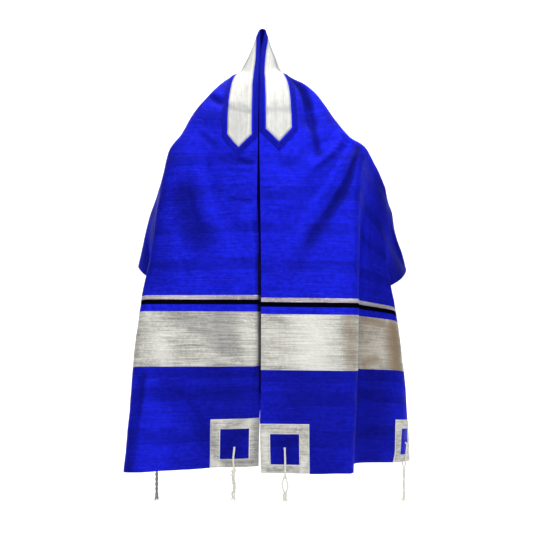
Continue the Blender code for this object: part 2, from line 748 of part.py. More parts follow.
# Corner frames and tassels: name, side, whether at the lower long edge, sway, length
corners = [
    ("front_right", 1, False, (-0.0075, 0.0070), 0.094),
    ("front_left", -1, False, (0.0030, -0.0036), 0.093),
    ("back_right", 1, True, (-0.0060, 0.0056), 0.122),
    ("back_left", -1, True, (0.0030, -0.0034), 0.124),
]
for corner, side, far_corner, sway, length in corners:
    frame_name = f"corner_frame_{corner}"
    corner_frame(frame_name, end_rows[side], side, far_corner, silver_silk)
    height = hole_heights[corner]
    tassel(f"tassel_{corner}", side, far_corner, height, sway, length, white_wool)
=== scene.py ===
# A narrow silk prayer shawl that hangs open from the middle of its neckband.
# A point of the flat cloth is (along, across): along runs from 0 at the held point of the
# neck edge to each short hem, negative towards -X, and across runs from 0 at the neck
# edge to the lower long edge. Metres, +Z up, front towards -Y.

import math

import bpy
import numpy as np
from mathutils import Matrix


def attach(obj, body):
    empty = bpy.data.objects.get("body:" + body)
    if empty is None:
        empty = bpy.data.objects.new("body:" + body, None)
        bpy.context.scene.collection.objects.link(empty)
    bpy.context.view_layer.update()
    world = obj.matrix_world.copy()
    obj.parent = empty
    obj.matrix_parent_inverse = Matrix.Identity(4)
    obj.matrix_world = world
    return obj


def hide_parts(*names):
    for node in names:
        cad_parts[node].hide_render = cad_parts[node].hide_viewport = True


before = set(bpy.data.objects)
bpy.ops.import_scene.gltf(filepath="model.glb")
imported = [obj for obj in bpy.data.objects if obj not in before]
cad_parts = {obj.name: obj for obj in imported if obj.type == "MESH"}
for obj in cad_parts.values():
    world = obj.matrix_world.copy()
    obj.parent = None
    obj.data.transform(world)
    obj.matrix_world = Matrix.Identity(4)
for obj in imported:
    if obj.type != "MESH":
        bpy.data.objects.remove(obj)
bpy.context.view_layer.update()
print("frame loaded:", len(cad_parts), "nodes")

cloth = {
    "halfLength": 0.960,
    "width": 0.500,
    "wall": 0.0010,  # thickness shown
    "cell": 0.0042,  # size of a grid cell on the large piece
    "fineCell": 0.0030,  # on the small pieces
}

# Guides that a draper would mark on the cloth: how far along and across it each point is,
# and where it hangs. x is outwards from the middle on both sides.
rightGuides = {
    "frontEdge": [
        # along, across, x, y, z
        (0.000, 0.000, 0.0000, 0.000, 0.000),
        (0.008, 0.000, 0.0060, -0.001, -0.003),
        (0.022, 0.000, 0.0045, -0.005, -0.016),
        (0.050, 0.000, -0.0012, -0.014, -0.043),
        (0.090, 0.000, -0.0040, -0.028, -0.081),
        (0.150, 0.000, -0.0055, -0.049, -0.137),
        (0.254, 0.000, -0.0060, -0.068, -0.239),
        (0.400, 0.000, -0.0040, -0.070, -0.385),
        (0.580, 0.000, -0.0022, -0.070, -0.565),
        (0.780, 0.000, -0.0028, -0.070, -0.765),
        (0.860, 0.000, -0.0050, -0.070, -0.845),
        (0.960, 0.000, -0.0030, -0.070, -0.945),
    ],
    "shoulderLine": [
        (0.000, 0.004, 0.0000, 0.003, -0.001),
        (0.008, 0.009, 0.0080, 0.003, -0.006),
        (0.022, 0.017, 0.0130, 0.005, -0.020),
        (0.050, 0.032, 0.0218, 0.009, -0.041),
        (0.085, 0.051, 0.0306, 0.012, -0.064),
        (0.117, 0.069, 0.0378, 0.014, -0.084),
        (0.136, 0.084, 0.0580, 0.012, -0.093),
        (0.169, 0.112, 0.0950, 0.004, -0.113),
        (0.189, 0.128, 0.1160, -0.003, -0.133),
        (0.208, 0.144, 0.1340, -0.010, -0.160),
        (0.226, 0.159, 0.1510, -0.016, -0.188),
        (0.254, 0.187, 0.1800, -0.026, -0.227),
        (0.283, 0.221, 0.2180, -0.036, -0.262),
        (0.306, 0.212, 0.2100, -0.052, -0.287),
        (0.370, 0.204, 0.2030, -0.064, -0.355),
        (0.500, 0.204, 0.2010, -0.068, -0.487),
        (0.700, 0.203, 0.2000, -0.070, -0.687),
        (0.960, 0.195, 0.1900, -0.070, -0.947),
    ],
    "sideHollow": [
        (0.000, 0.105, 0.0000, 0.068, -0.079),
        (0.050, 0.130, 0.0420, 0.068, -0.114),
        (0.090, 0.162, 0.0740, 0.066, -0.164),
        (0.134, 0.205, 0.1230, 0.062, -0.204),
        (0.190, 0.258, 0.1760, 0.060, -0.262),
        (0.254, 0.300, 0.2340, 0.046, -0.306),
        (0.283, 0.305, 0.2600, 0.028, -0.312),
        (0.306, 0.298, 0.2440, 0.018, -0.324),
        (0.370, 0.292, 0.2270, 0.022, -0.376),
        (0.440, 0.300, 0.2180, 0.029, -0.440),
        (0.580, 0.308, 0.2120, 0.038, -0.571),
        (0.700, 0.312, 0.2080, 0.042, -0.693),
        (0.960, 0.310, 0.1990, 0.044, -0.950),
    ],
    "sideLine": [
        (0.000, 0.330, 0.0000, 0.102, -0.300),
        (0.090, 0.350, 0.0960, 0.108, -0.347),
        (0.190, 0.358, 0.1920, 0.108, -0.350),
        (0.254, 0.364, 0.2600, 0.096, -0.350),
        (0.283, 0.368, 0.2840, 0.080, -0.350),
        (0.306, 0.366, 0.2840, 0.068, -0.364),
        (0.335, 0.362, 0.2790, 0.052, -0.390),
        (0.370, 0.360, 0.2670, 0.040, -0.425),
        (0.440, 0.370, 0.2750, 0.033, -0.480),
        (0.500, 0.385, 0.2890, 0.035, -0.528),
        (0.580, 0.405, 0.3040, 0.047, -0.590),
        (0.700, 0.418, 0.3180, 0.062, -0.700),
        (0.830, 0.420, 0.3260, 0.074, -0.832),
        (0.960, 0.412, 0.3120, 0.082, -0.957),
    ],
    "lowerEdge": [
        (0.000, 0.500, 0.0000, 0.114, -0.469),
        (0.090, 0.500, 0.0900, 0.120, -0.496),
        (0.190, 0.500, 0.1900, 0.126, -0.490),
        (0.270, 0.500, 0.2720, 0.134, -0.496),
        (0.310, 0.500, 0.3100, 0.140, -0.503),
        (0.350, 0.500, 0.3340, 0.122, -0.516),
        (0.390, 0.500, 0.3200, 0.086, -0.536),
        (0.430, 0.500, 0.2880, 0.064, -0.556),
        (0.470, 0.500, 0.2560, 0.080, -0.573),
        (0.520, 0.500, 0.2500, 0.118, -0.592),
        (0.600, 0.500, 0.2800, 0.132, -0.638),
        (0.700, 0.500, 0.3140, 0.140, -0.722),
        (0.830, 0.500, 0.3410, 0.148, -0.844),
        (0.960, 0.500, 0.3500, 0.158, -0.971),
    ],
}

leftGuides = {
    "frontEdge": [
        (0.000, 0.000, 0.0000, 0.000, 0.000),
        (0.008, 0.000, 0.0052, -0.001, -0.003),
        (0.022, 0.000, 0.0050, -0.005, -0.016),
        (0.050, 0.000, 0.0045, -0.014, -0.043),
        (0.090, 0.000, 0.0062, -0.028, -0.081),
        (0.150, 0.000, 0.0074, -0.049, -0.137),
        (0.254, 0.000, 0.0085, -0.068, -0.237),
        (0.400, 0.000, 0.0105, -0.072, -0.380),
        (0.500, 0.000, -0.0005, -0.053, -0.479),
        (0.600, 0.000, -0.0012, -0.052, -0.580),
        (0.720, 0.000, -0.0008, -0.053, -0.699),
        (0.780, 0.000, -0.0004, -0.059, -0.754),
        (0.860, 0.000, 0.0056, -0.066, -0.833),
        (0.960, 0.000, 0.0074, -0.069, -0.931),
    ],
    "edgeTurn": [
        (0.000, 0.002, 0.0000, 0.001, 0.000),
        (0.008, 0.004, 0.0065, 0.001, -0.004),
        (0.022, 0.008, 0.0090, -0.001, -0.018),
        (0.050, 0.016, 0.0140, -0.005, -0.046),
        (0.090, 0.024, 0.0215, -0.014, -0.085),
        (0.150, 0.024, 0.0300, -0.040, -0.137),
        (0.254, 0.024, 0.0324, -0.065, -0.237),
        (0.400, 0.024, 0.0335, -0.072, -0.380),
        (0.500, 0.024, 0.0134, -0.075, -0.479),
        (0.600, 0.024, 0.0134, -0.076, -0.580),
        (0.720, 0.024, 0.0136, -0.076, -0.699),
        (0.780, 0.024, 0.0180, -0.077, -0.754),
        (0.860, 0.024, 0.0290, -0.077, -0.833),
        (0.960, 0.024, 0.0312, -0.077, -0.931),
    ],
    "shoulderLine": [
        (0.000, 0.004, 0.0000, 0.003, -0.001),
        (0.008, 0.009, 0.0080, 0.003, -0.006),
        (0.022, 0.017, 0.0140, 0.005, -0.021),
        (0.050, 0.033, 0.0240, 0.009, -0.042),
        (0.085, 0.052, 0.0360, 0.012, -0.065),
        (0.117, 0.069, 0.0470, 0.014, -0.085),
        (0.133, 0.082, 0.0660, 0.012, -0.093),
        (0.149, 0.094, 0.0830, 0.009, -0.104),
        (0.176, 0.115, 0.1090, 0.003, -0.128),
        (0.205, 0.136, 0.1320, -0.006, -0.156),
        (0.228, 0.153, 0.1500, -0.013, -0.183),
        (0.256, 0.176, 0.1710, -0.021, -0.224),
        (0.285, 0.197, 0.1985, -0.030, -0.262),
        (0.330, 0.198, 0.2050, -0.046, -0.312),
        (0.400, 0.209, 0.2190, -0.057, -0.388),
        (0.500, 0.240, 0.2330, -0.064, -0.486),
        (0.600, 0.262, 0.2520, -0.068, -0.580),
        (0.720, 0.274, 0.2670, -0.071, -0.698),
        (0.860, 0.276, 0.2790, -0.072, -0.840),
        (0.960, 0.284, 0.2900, -0.072, -0.944),
    ],
    "sideHollow": [
        (0.000, 0.105, 0.0000, 0.068, -0.079),
        (0.050, 0.130, 0.0420, 0.068, -0.114),
        (0.090, 0.162, 0.0740, 0.066, -0.164),
        (0.134, 0.202, 0.1230, 0.062, -0.201),
        (0.190, 0.250, 0.1700, 0.060, -0.256),
        (0.254, 0.276, 0.2080, 0.048, -0.300),
        (0.330, 0.274, 0.2260, 0.012, -0.350),
        (0.400, 0.290, 0.2340, 0.012, -0.421),
        (0.500, 0.318, 0.2400, 0.008, -0.511),
        (0.600, 0.335, 0.2540, 0.002, -0.601),
        (0.720, 0.344, 0.2700, -0.002, -0.712),
        (0.860, 0.348, 0.2780, -0.002, -0.849),
        (0.960, 0.354, 0.2860, -0.002, -0.946),
    ],
    "sideLine": [
        (0.000, 0.330, 0.0000, 0.102, -0.300),
        (0.090, 0.350, 0.0960, 0.108, -0.347),
        (0.190, 0.366, 0.1840, 0.110, -0.360),
        (0.254, 0.370, 0.2300, 0.096, -0.378),
        (0.330, 0.374, 0.2600, 0.078, -0.410),
        (0.400, 0.385, 0.2560, 0.068, -0.474),
        (0.500, 0.402, 0.2500, 0.064, -0.562),
        (0.600, 0.412, 0.2500, 0.072, -0.636),
        (0.720, 0.418, 0.2600, 0.070, -0.735),
        (0.860, 0.422, 0.2570, 0.070, -0.860),
        (0.960, 0.426, 0.2520, 0.068, -0.950),
    ],
    "lowerEdge": [
        (0.000, 0.500, 0.0000, 0.114, -0.469),
        (0.090, 0.500, 0.0900, 0.120, -0.496),
        (0.190, 0.500, 0.1880, 0.126, -0.488),
        (0.250, 0.500, 0.2460, 0.136, -0.491),
        (0.290, 0.500, 0.2800, 0.136, -0.498),
        (0.325, 0.500, 0.2880, 0.110, -0.507),
        (0.370, 0.500, 0.2720, 0.074, -0.526),
        (0.410, 0.500, 0.2420, 0.058, -0.546),
        (0.450, 0.500, 0.2150, 0.078, -0.565),
        (0.500, 0.500, 0.2080, 0.118, -0.586),
        (0.580, 0.500, 0.2220, 0.136, -0.646),
        (0.720, 0.500, 0.2340, 0.140, -0.755),
        (0.860, 0.500, 0.2270, 0.134, -0.868),
        (0.960, 0.500, 0.2200, 0.130, -0.953),
    ],
}

# How far to each side of a guide the cloth turns, and the most of the room there is
bends = {"edgeTurn": 0.006, "shoulderLine": 0.018, "sideHollow": 0.030, "sideLine": 0.030}
mostBend = 0.85

# Large soft folds, with a Gaussian section: side, start, end, half width, height
largeFolds = [
    # side, along0, across0, along1, across1, halfWidth, height
    (1, 0.275, 0.190, 0.430, 0.085, 0.026, -0.0090),
    (1, 0.265, 0.155, 0.330, 0.060, 0.022, -0.0050),
    (1, 0.158, 0.088, 0.235, 0.108, 0.015, -0.0070),
    (1, 0.380, 0.030, 0.560, 0.040, 0.030, 0.0040),
    (1, 0.790, 0.170, 0.960, 0.110, 0.034, 0.0060),
    (1, 0.760, 0.330, 0.930, 0.390, 0.026, 0.0060),
    (1, 0.300, 0.400, 0.318, 0.460, 0.034, 0.0080),
    (-1, 0.194, 0.112, 0.200, 0.090, 0.011, -0.0050),
    (-1, 0.330, 0.110, 0.480, 0.060, 0.030, -0.0045),
    (-1, 0.820, 0.150, 0.960, 0.090, 0.034, -0.0070),
    (-1, 0.740, 0.090, 0.900, 0.170, 0.034, 0.0050),
    (-1, 0.880, 0.265, 0.960, 0.240, 0.030, 0.0060),
]
backWaves = {
    "start": 0.16,
    "full": 0.42,
    "waves": [
        # along, halfWidth, depth
        (0.060, 0.030, 0.0080),
        (0.165, 0.034, -0.0090),
        (0.245, 0.026, 0.0060),
        (-0.070, 0.034, 0.0090),
        (-0.160, 0.030, -0.0070),
        (-0.235, 0.026, 0.0060),
    ],
}

foldShape = {
    "fall": 1.6,  # how fast a large fold falls off beside its line
    "width": (0.65, 0.6),  # share of its half width at its start, and what it gains by its end
    "creaseWidth": (0.6, 0.5),  # the same for a crease
    "trough": (0.35, 1.9, 1.1),  # beside a crease: depth, place and width against the ridge
    "fade": 0.7,  # how fast a crease starts and ends, less for faster
    "reach": 5,  # half widths past which a crease does nothing
    "parts": 8,  # straight parts of a bent crease
}

# Creases placed on the large folds, each bent through three points of the cloth
creases = [
    # side, along0, across0, along1, across1, along2, across2, halfWidth, height
    # right front
    (1, 0.142, 0.080, 0.192, 0.104, 0.300, 0.120, 0.0075, -0.0042),
    (1, 0.292, 0.206, 0.386, 0.163, 0.484, 0.096, 0.0090, -0.0050),
    (1, 0.280, 0.176, 0.316, 0.140, 0.352, 0.098, 0.0070, -0.0024),
    (1, 0.224, 0.096, 0.231, 0.112, 0.229, 0.130, 0.0030, 0.0012),
    (1, 0.248, 0.092, 0.262, 0.118, 0.298, 0.148, 0.0040, 0.0014),
    (1, 0.388, 0.020, 0.420, 0.030, 0.452, 0.040, 0.0080, -0.0018),
    (1, 0.482, 0.024, 0.506, 0.036, 0.530, 0.050, 0.0070, -0.0016),
    (1, 0.560, 0.150, 0.575, 0.120, 0.590, 0.085, 0.0060, 0.0009),
    (1, 0.832, 0.140, 0.838, 0.170, 0.842, 0.198, 0.0040, 0.0015),
    (1, 0.205, 0.010, 0.203, 0.038, 0.213, 0.068, 0.0070, -0.0016),
    (1, 0.770, 0.185, 0.850, 0.178, 0.950, 0.172, 0.0060, -0.0018),
    (1, 0.650, 0.110, 0.690, 0.135, 0.740, 0.150, 0.0080, -0.0014),
    (1, 0.800, 0.060, 0.830, 0.090, 0.850, 0.130, 0.0070, 0.0012),
    # right side, beyond the fold
    (1, 0.330, 0.225, 0.420, 0.232, 0.560, 0.236, 0.0080, -0.0022),
    (1, 0.350, 0.300, 0.460, 0.318, 0.580, 0.330, 0.0090, 0.0024),
    (1, 0.600, 0.250, 0.760, 0.262, 0.950, 0.268, 0.0100, -0.0030),
    (1, 0.700, 0.350, 0.830, 0.362, 0.950, 0.350, 0.0080, 0.0024),
    (1, 0.830, 0.300, 0.870, 0.330, 0.890, 0.372, 0.0050, -0.0014),
    # left front
    (-1, 0.190, 0.114, 0.197, 0.102, 0.202, 0.086, 0.0060, -0.0030),
    (-1, 0.258, 0.132, 0.274, 0.112, 0.286, 0.088, 0.0060, -0.0030),
    (-1, 0.306, 0.070, 0.316, 0.040, 0.326, 0.010, 0.0042, -0.0030),
    (-1, 0.322, 0.078, 0.330, 0.052, 0.334, 0.020, 0.0034, 0.0012),
    (-1, 0.392, 0.056, 0.400, 0.036, 0.404, 0.014, 0.0034, -0.0020),
    (-1, 0.412, 0.074, 0.420, 0.052, 0.424, 0.030, 0.0030, 0.0010),
    (-1, 0.470, 0.078, 0.480, 0.054, 0.484, 0.030, 0.0042, 0.0014),
    (-1, 0.490, 0.074, 0.512, 0.060, 0.546, 0.044, 0.0042, -0.0014),
    (-1, 0.556, 0.130, 0.566, 0.105, 0.572, 0.072, 0.0042, 0.0010),
    (-1, 0.380, 0.144, 0.416, 0.136, 0.452, 0.134, 0.0080, -0.0024),
    (-1, 0.206, 0.068, 0.204, 0.036, 0.212, 0.010, 0.0070, -0.0018),
    # silver bands and hems
    (-1, 0.650, 0.200, 0.664, 0.150, 0.660, 0.110, 0.0040, 0.0012),
    (-1, 0.676, 0.230, 0.690, 0.196, 0.706, 0.170, 0.0040, 0.0010),
    (-1, 0.640, 0.060, 0.654, 0.044, 0.664, 0.024, 0.0030, 0.0012),
    (-1, 0.690, 0.140, 0.700, 0.100, 0.704, 0.070, 0.0040, -0.0010),
    (-1, 0.722, 0.080, 0.728, 0.056, 0.738, 0.030, 0.0040, 0.0009),
    (1, 0.640, 0.090, 0.660, 0.110, 0.664, 0.130, 0.0036, 0.0010),
    (1, 0.646, 0.030, 0.660, 0.050, 0.664, 0.070, 0.0036, -0.0008),
    (1, 0.700, 0.120, 0.716, 0.140, 0.724, 0.170, 0.0040, 0.0009),
    (1, 0.640, 0.320, 0.656, 0.350, 0.654, 0.380, 0.0050, -0.0012),
    (1, 0.890, 0.150, 0.920, 0.176, 0.956, 0.190, 0.0110, 0.0040),
    (-1, 0.920, 0.150, 0.940, 0.170, 0.958, 0.180, 0.0110, 0.0030),
    (-1, 0.500, 0.190, 0.540, 0.170, 0.580, 0.160, 0.0080, -0.0014),
    (-1, 0.650, 0.050, 0.656, 0.036, 0.660, 0.026, 0.0030, 0.0010),
    (-1, 0.655, 0.110, 0.700, 0.100, 0.742, 0.098, 0.0080, -0.0016),
    (-1, 0.690, 0.210, 0.720, 0.225, 0.742, 0.245, 0.0060, 0.0014),
    (-1, 0.795, 0.196, 0.850, 0.134, 0.952, 0.096, 0.0100, -0.0036),
    (-1, 0.796, 0.214, 0.812, 0.120, 0.834, 0.030, 0.0080, -0.0018),
    (-1, 0.760, 0.250, 0.850, 0.256, 0.955, 0.262, 0.0055, -0.0036),
    (-1, 0.860, 0.180, 0.900, 0.160, 0.950, 0.150, 0.0080, 0.0020),
    # left side, beyond the fold
    (-1, 0.350, 0.236, 0.450, 0.262, 0.580, 0.292, 0.0080, -0.0022),
    (-1, 0.380, 0.320, 0.480, 0.340, 0.600, 0.352, 0.0080, 0.0022),
    (-1, 0.620, 0.300, 0.780, 0.312, 0.950, 0.318, 0.0080, -0.0026),
    (-1, 0.700, 0.380, 0.840, 0.388, 0.950, 0.396, 0.0080, 0.0024),
    # back, from the held point and the shoulders down
    (1, 0.006, 0.040, 0.026, 0.200, 0.050, 0.400, 0.0080, -0.0036),
    (1, 0.020, 0.080, 0.080, 0.220, 0.120, 0.470, 0.0090, 0.0034),
    (1, 0.060, 0.110, 0.140, 0.230, 0.210, 0.420, 0.0080, -0.0032),
    (1, 0.150, 0.180, 0.215, 0.300, 0.240, 0.480, 0.0090, 0.0030),
    (1, 0.230, 0.230, 0.270, 0.340, 0.300, 0.480, 0.0080, -0.0030),
    (1, 0.320, 0.380, 0.345, 0.430, 0.350, 0.490, 0.0070, 0.0026),
    (1, 0.400, 0.420, 0.480, 0.440, 0.560, 0.470, 0.0070, -0.0022),
    (1, 0.640, 0.440, 0.780, 0.456, 0.940, 0.460, 0.0080, -0.0026),
    (-1, 0.010, 0.050, 0.030, 0.210, 0.034, 0.430, 0.0080, 0.0030),
    (-1, 0.020, 0.080, 0.090, 0.240, 0.150, 0.460, 0.0090, -0.0034),
    (-1, 0.070, 0.120, 0.150, 0.230, 0.190, 0.400, 0.0080, 0.0030),
    (-1, 0.170, 0.190, 0.220, 0.310, 0.230, 0.480, 0.0080, -0.0030),
    (-1, 0.240, 0.240, 0.280, 0.340, 0.310, 0.480, 0.0080, 0.0028),
    (-1, 0.360, 0.400, 0.440, 0.430, 0.540, 0.460, 0.0070, -0.0024),
    (-1, 0.660, 0.440, 0.800, 0.452, 0.940, 0.456, 0.0080, 0.0024),
]

# Painted shade and painted highlights, as soft strokes: shade deep in folds and on sides
# away from the light, a near-black painted shadow on the edge that is turned in. Amounts
# over 1 give a firmer edge and go towards near-black, those under 0 are painted highlights
shadeStrokes = {
    "blue": [
        # side, along0, across0, along1, across1, halfWidth, amount
        # near-black painted shadow in the slit, on the left edge that is turned in
        (-1, 0.385, -0.020, 0.520, 0.002, 0.019, 3.50),
        (-1, 0.520, 0.002, 0.720, 0.002, 0.020, 3.50),
        (-1, 0.720, 0.002, 0.800, -0.004, 0.016, 3.50),
        (1, 0.286, 0.206, 0.372, 0.171, 0.020, 0.76),
        (1, 0.372, 0.171, 0.430, 0.134, 0.024, 0.70),
        (1, 0.430, 0.134, 0.480, 0.100, 0.026, 0.62),
        (1, 0.480, 0.100, 0.530, 0.070, 0.030, 0.30),
        (1, 0.282, 0.172, 0.350, 0.100, 0.016, 0.24),
        (1, 0.117, 0.074, 0.142, 0.080, 0.014, 0.80),
        (1, 0.142, 0.080, 0.176, 0.098, 0.016, 0.84),
        (1, 0.176, 0.098, 0.212, 0.110, 0.016, 0.84),
        (1, 0.212, 0.110, 0.295, 0.122, 0.013, 0.62),
        (1, 0.310, 0.345, 0.600, 0.360, 0.090, 0.52),
        (1, 0.310, 0.430, 0.440, 0.500, 0.110, 0.60),
        (1, 0.740, 0.345, 0.960, 0.345, 0.110, 0.56),
        (1, 0.790, 0.100, 0.960, 0.100, 0.190, 0.48),
        (1, 0.895, 0.050, 0.925, 0.056, 0.085, 0.62),
        (1, 0.852, 0.172, 0.900, 0.112, 0.026, 0.48),
        (-1, 0.380, 0.150, 0.470, 0.136, 0.060, 0.60),
        (-1, 0.194, 0.126, 0.202, 0.088, 0.012, 0.48),
        (-1, 0.198, 0.126, 0.226, 0.144, 0.010, 0.40),
        (-1, 0.264, 0.130, 0.284, 0.092, 0.014, 0.22),
        (-1, 0.312, 0.076, 0.322, 0.012, 0.011, 0.45),
        (-1, 0.394, 0.058, 0.402, 0.014, 0.010, 0.40),
        (-1, 0.290, 0.190, 0.560, 0.235, 0.060, 0.32),
        (-1, 0.320, 0.300, 0.600, 0.360, 0.090, 0.35),
        (-1, 0.290, 0.430, 0.420, 0.480, 0.090, 0.30),
        (-1, 0.778, 0.196, 0.850, 0.134, 0.050, 0.40),
        (-1, 0.850, 0.134, 0.952, 0.098, 0.042, 0.45),
        (-1, 0.806, 0.206, 0.812, 0.030, 0.030, 0.38),
        (-1, 0.772, 0.252, 0.958, 0.270, 0.020, 0.50),
        (-1, 0.790, 0.060, 0.960, 0.060, 0.190, 0.48),
        (-1, 0.895, 0.050, 0.925, 0.056, 0.085, 0.62),
        (-1, 0.870, 0.205, 0.940, 0.215, 0.036, -0.20),
    ],
    "silver": [
        # near-black painted shadow in the slit; strokes under 0 are painted highlights on the
        # silver
        (-1, 0.600, 0.002, 0.760, 0.002, 0.020, 3.50),
        (-1, 0.640, 0.096, 0.745, 0.086, 0.060, 0.55),
        (-1, 0.640, 0.190, 0.655, 0.130, 0.036, 0.45),
        (-1, 0.738, 0.205, 0.690, 0.225, 0.032, -0.85),
        (-1, 0.650, 0.045, 0.740, 0.034, 0.026, -0.50),
        (-1, 0.668, 0.160, 0.676, 0.080, 0.012, 0.60),
        (-1, 0.720, 0.120, 0.740, 0.060, 0.016, -0.40),
        (1, 0.640, 0.105, 0.740, 0.115, 0.085, -0.90),
        (1, 0.630, 0.180, 0.750, 0.186, 0.034, 0.62),
        (1, 0.630, 0.320, 0.750, 0.326, 0.140, 0.46),
        (1, 0.650, 0.396, 0.750, 0.404, 0.050, 0.90),
        (1, 0.636, 0.320, 0.642, 0.370, 0.024, 0.80),
        (1, 0.735, 0.330, 0.724, 0.352, 0.034, 0.78),
    ],
    "band": [
        # painted shade on the neckband: lower down, at its dents and near the peak
        (-1, 0.215, 0.040, 0.268, 0.040, 0.048, 0.30),
        (1, 0.215, 0.040, 0.268, 0.040, 0.048, 0.32),
        (-1, 0.208, 0.066, 0.212, 0.012, 0.012, 0.70),
        (1, 0.208, 0.012, 0.214, 0.066, 0.014, 0.60),
        (-1, 0.012, 0.010, 0.050, 0.031, 0.009, 1.00),
        (-1, 0.050, 0.031, 0.128, 0.067, 0.009, 1.00),
        (-1, 0.124, 0.067, 0.146, 0.069, 0.006, 0.90),
        (1, 0.012, 0.010, 0.050, 0.030, 0.009, 1.00),
        (1, 0.050, 0.030, 0.128, 0.067, 0.009, 1.00),
        (1, 0.124, 0.067, 0.146, 0.069, 0.006, 0.90),
        (-1, 0.020, 0.022, 0.110, 0.050, 0.022, 0.32),
        (1, 0.020, 0.022, 0.100, 0.050, 0.022, 0.22),
    ],
    "frame": [
        (-1, 0.850, 0.004, 0.960, 0.004, 0.018, 0.62),
        (-1, 0.948, 0.072, 0.950, 0.012, 0.016, 0.60),
        (-1, 0.862, 0.034, 0.872, 0.064, 0.016, 0.40),
        (-1, 0.870, 0.094, 0.930, 0.092, 0.012, 0.32),
        (-1, 0.940, 0.100, 0.955, 0.086, 0.016, -0.60),
        (1, 0.866, 0.026, 0.868, 0.094, 0.014, 0.26),
        (1, 0.954, 0.020, 0.950, 0.090, 0.010, 0.34),
        (1, 0.880, 0.008, 0.940, 0.010, 0.014, -0.60),
        (1, 0.930, 0.092, 0.950, 0.088, 0.012, -0.50),
    ],
}
inside = {"blue": 0.72, "silver": 0.35, "band": 0.0, "frame": 0.0}  # the least painted shade on the inner face, which lies in shadow

# Puckers beside the seams across the cloth: how far they reach, how high and how long
puckers = {
    "reach": 0.014, "height": 0.00042, "length": 0.019,
    "seams": [0.597, 0.616, 0.631, 0.747],
}

# Long weak waves over the whole cloth, with the letters of the formula in ripples
longWaves = [
    # rise, p, bend, q, start, r, s
    (0.00035, 61, 2.1, 23, 0.0, 47, 9),
    (0.00022, 139, 3.0, 31, 1.0, 83, 0),
]


def smoothStep(value):
    # 0 below 0, 1 above 1, and 3t^2 - 2t^3 between
    t = np.clip(value, 0.0, 1.0)
    return t * t * (3.0 - 2.0 * t)


def curveThrough(knots, values, at):
    # a cubic between each pair of knots, with its slope there the weighted harmonic mean
    # of the two runs beside it, or 0 where they run opposite ways
    knots, values = np.asarray(knots, float), np.asarray(values, float)
    steps = np.diff(knots)
    slopes = np.diff(values) / steps
    tangents = np.zeros_like(values)
    before, after = 2 * steps[1:] + steps[:-1], steps[1:] + 2 * steps[:-1]
    with np.errstate(divide="ignore", invalid="ignore"):
        middle = (before + after) / (before / slopes[:-1] + after / slopes[1:])
    tangents[1:-1] = np.where(slopes[:-1] * slopes[1:] > 0, middle, 0.0)
    tangents[0], tangents[-1] = slopes[0], slopes[-1]
    span = np.clip(np.searchsorted(knots, at) - 1, 0, len(steps) - 1)
    t = (at - knots[span]) / steps[span]
    return (
        values[span] * (1 + 2 * t) * (1 - t) ** 2
        + tangents[span] * steps[span] * t * (1 - t) ** 2
        + values[span + 1] * t * t * (3 - 2 * t)
        + tangents[span + 1] * steps[span] * t * t * (t - 1)
    )


def sideSurface(guides, along, across):
    # straight runs across the cloth from guide to guide, and where one turns into the next
    # the parabola (x + half)^2 / 4 half. along has one value for each row of across
    marks, points = [], []
    for rows in guides.values():
        knots, *columns = zip(*rows)
        mark, *point = [curveThrough(knots, column, along)[:, None] for column in columns]
        marks.append(mark)
        points.append(np.stack(point, axis=-1))
    runs = [
        (points[i + 1] - points[i]) / (marks[i + 1] - marks[i])[..., None]
        for i in range(len(points) - 1)
    ]
    made = points[0] + runs[0] * across[..., None]
    for i, name in list(enumerate(guides))[1:-1]:
        room = np.minimum(marks[i] - marks[i - 1], marks[i + 1] - marks[i])
        half = np.minimum(bends[name], mostBend * room)
        beyond = across - marks[i]
        turn = np.where(beyond > half, beyond, (np.maximum(beyond + half, 0.0)) ** 2 / (4 * half))
        made = made + (runs[i] - runs[i - 1]) * turn[..., None]
    return made


def plainDrape(along, across):
    # the draped cloth before its folds
    right = sideSurface(rightGuides, np.abs(along), across)
    left = sideSurface(leftGuides, np.abs(along), across) * np.array([-1.0, 1.0, 1.0])
    return np.where((along >= 0)[:, None, None], right, left)


def unit(vectors):
    # each vector over its own length
    return vectors / np.maximum(np.linalg.norm(vectors, axis=-1, keepdims=True), 1e-12)


def outwardOf(surface, along, across, step=0.0015):
    # unit normal: the cross product of the surface's steps along and across
    lowA = np.maximum(along - step, -cloth["halfLength"])
    highA = np.minimum(along + step, cloth["halfLength"])
    lowC, highC = np.maximum(across - step, 0.0), np.minimum(across + step, cloth["width"])
    byAlong = surface(highA, across) - surface(lowA, across)
    byAcross = surface(along, highC) - surface(along, lowC)
    return unit(np.cross(byAlong, byAcross))


def fromRun(along, across, start, stop):
    # for each point the share t of the way along a straight run that is nearest to it,
    # t = (p - start) . run / run . run held between 0 and 1, its distance from there, and
    # the side of the run that it is on, 1 or -1
    runA, runC = stop[0] - start[0], stop[1] - start[1]
    t = ((along - start[0]) * runA + (across - start[1]) * runC) / (runA**2 + runC**2)
    t = np.clip(t, 0.0, 1.0)
    offA, offC = along - start[0] - t * runA, across - start[1] - t * runC
    return t, np.hypot(offA, offC), np.where(offA * runC - offC * runA > 0, 1.0, -1.0)


def foldHeight(along, across):
    # the large folds: rise * exp(-fall d^2) for each, d the distance over the half width,
    # which grows along it, and the back's waves: depth * exp(-(distance / half width)^2)
    along = np.broadcast_to(along[:, None], across.shape)
    height = np.zeros(across.shape)
    for side, a0, c0, a1, c1, halfWidth, rise in largeFolds:
        t, away, _ = fromRun(along, across, (a0 * side, c0), (a1 * side, c1))
        away = away / (halfWidth * (foldShape["width"][0] + foldShape["width"][1] * t))
        height += rise * np.exp(-foldShape["fall"] * away**2)
    lower = smoothStep((across - backWaves["start"]) / (backWaves["full"] - backWaves["start"]))
    for centre, halfWidth, depth in backWaves["waves"]:
        height += depth * lower * np.exp(-(((along - centre) / halfWidth) ** 2))
    return height


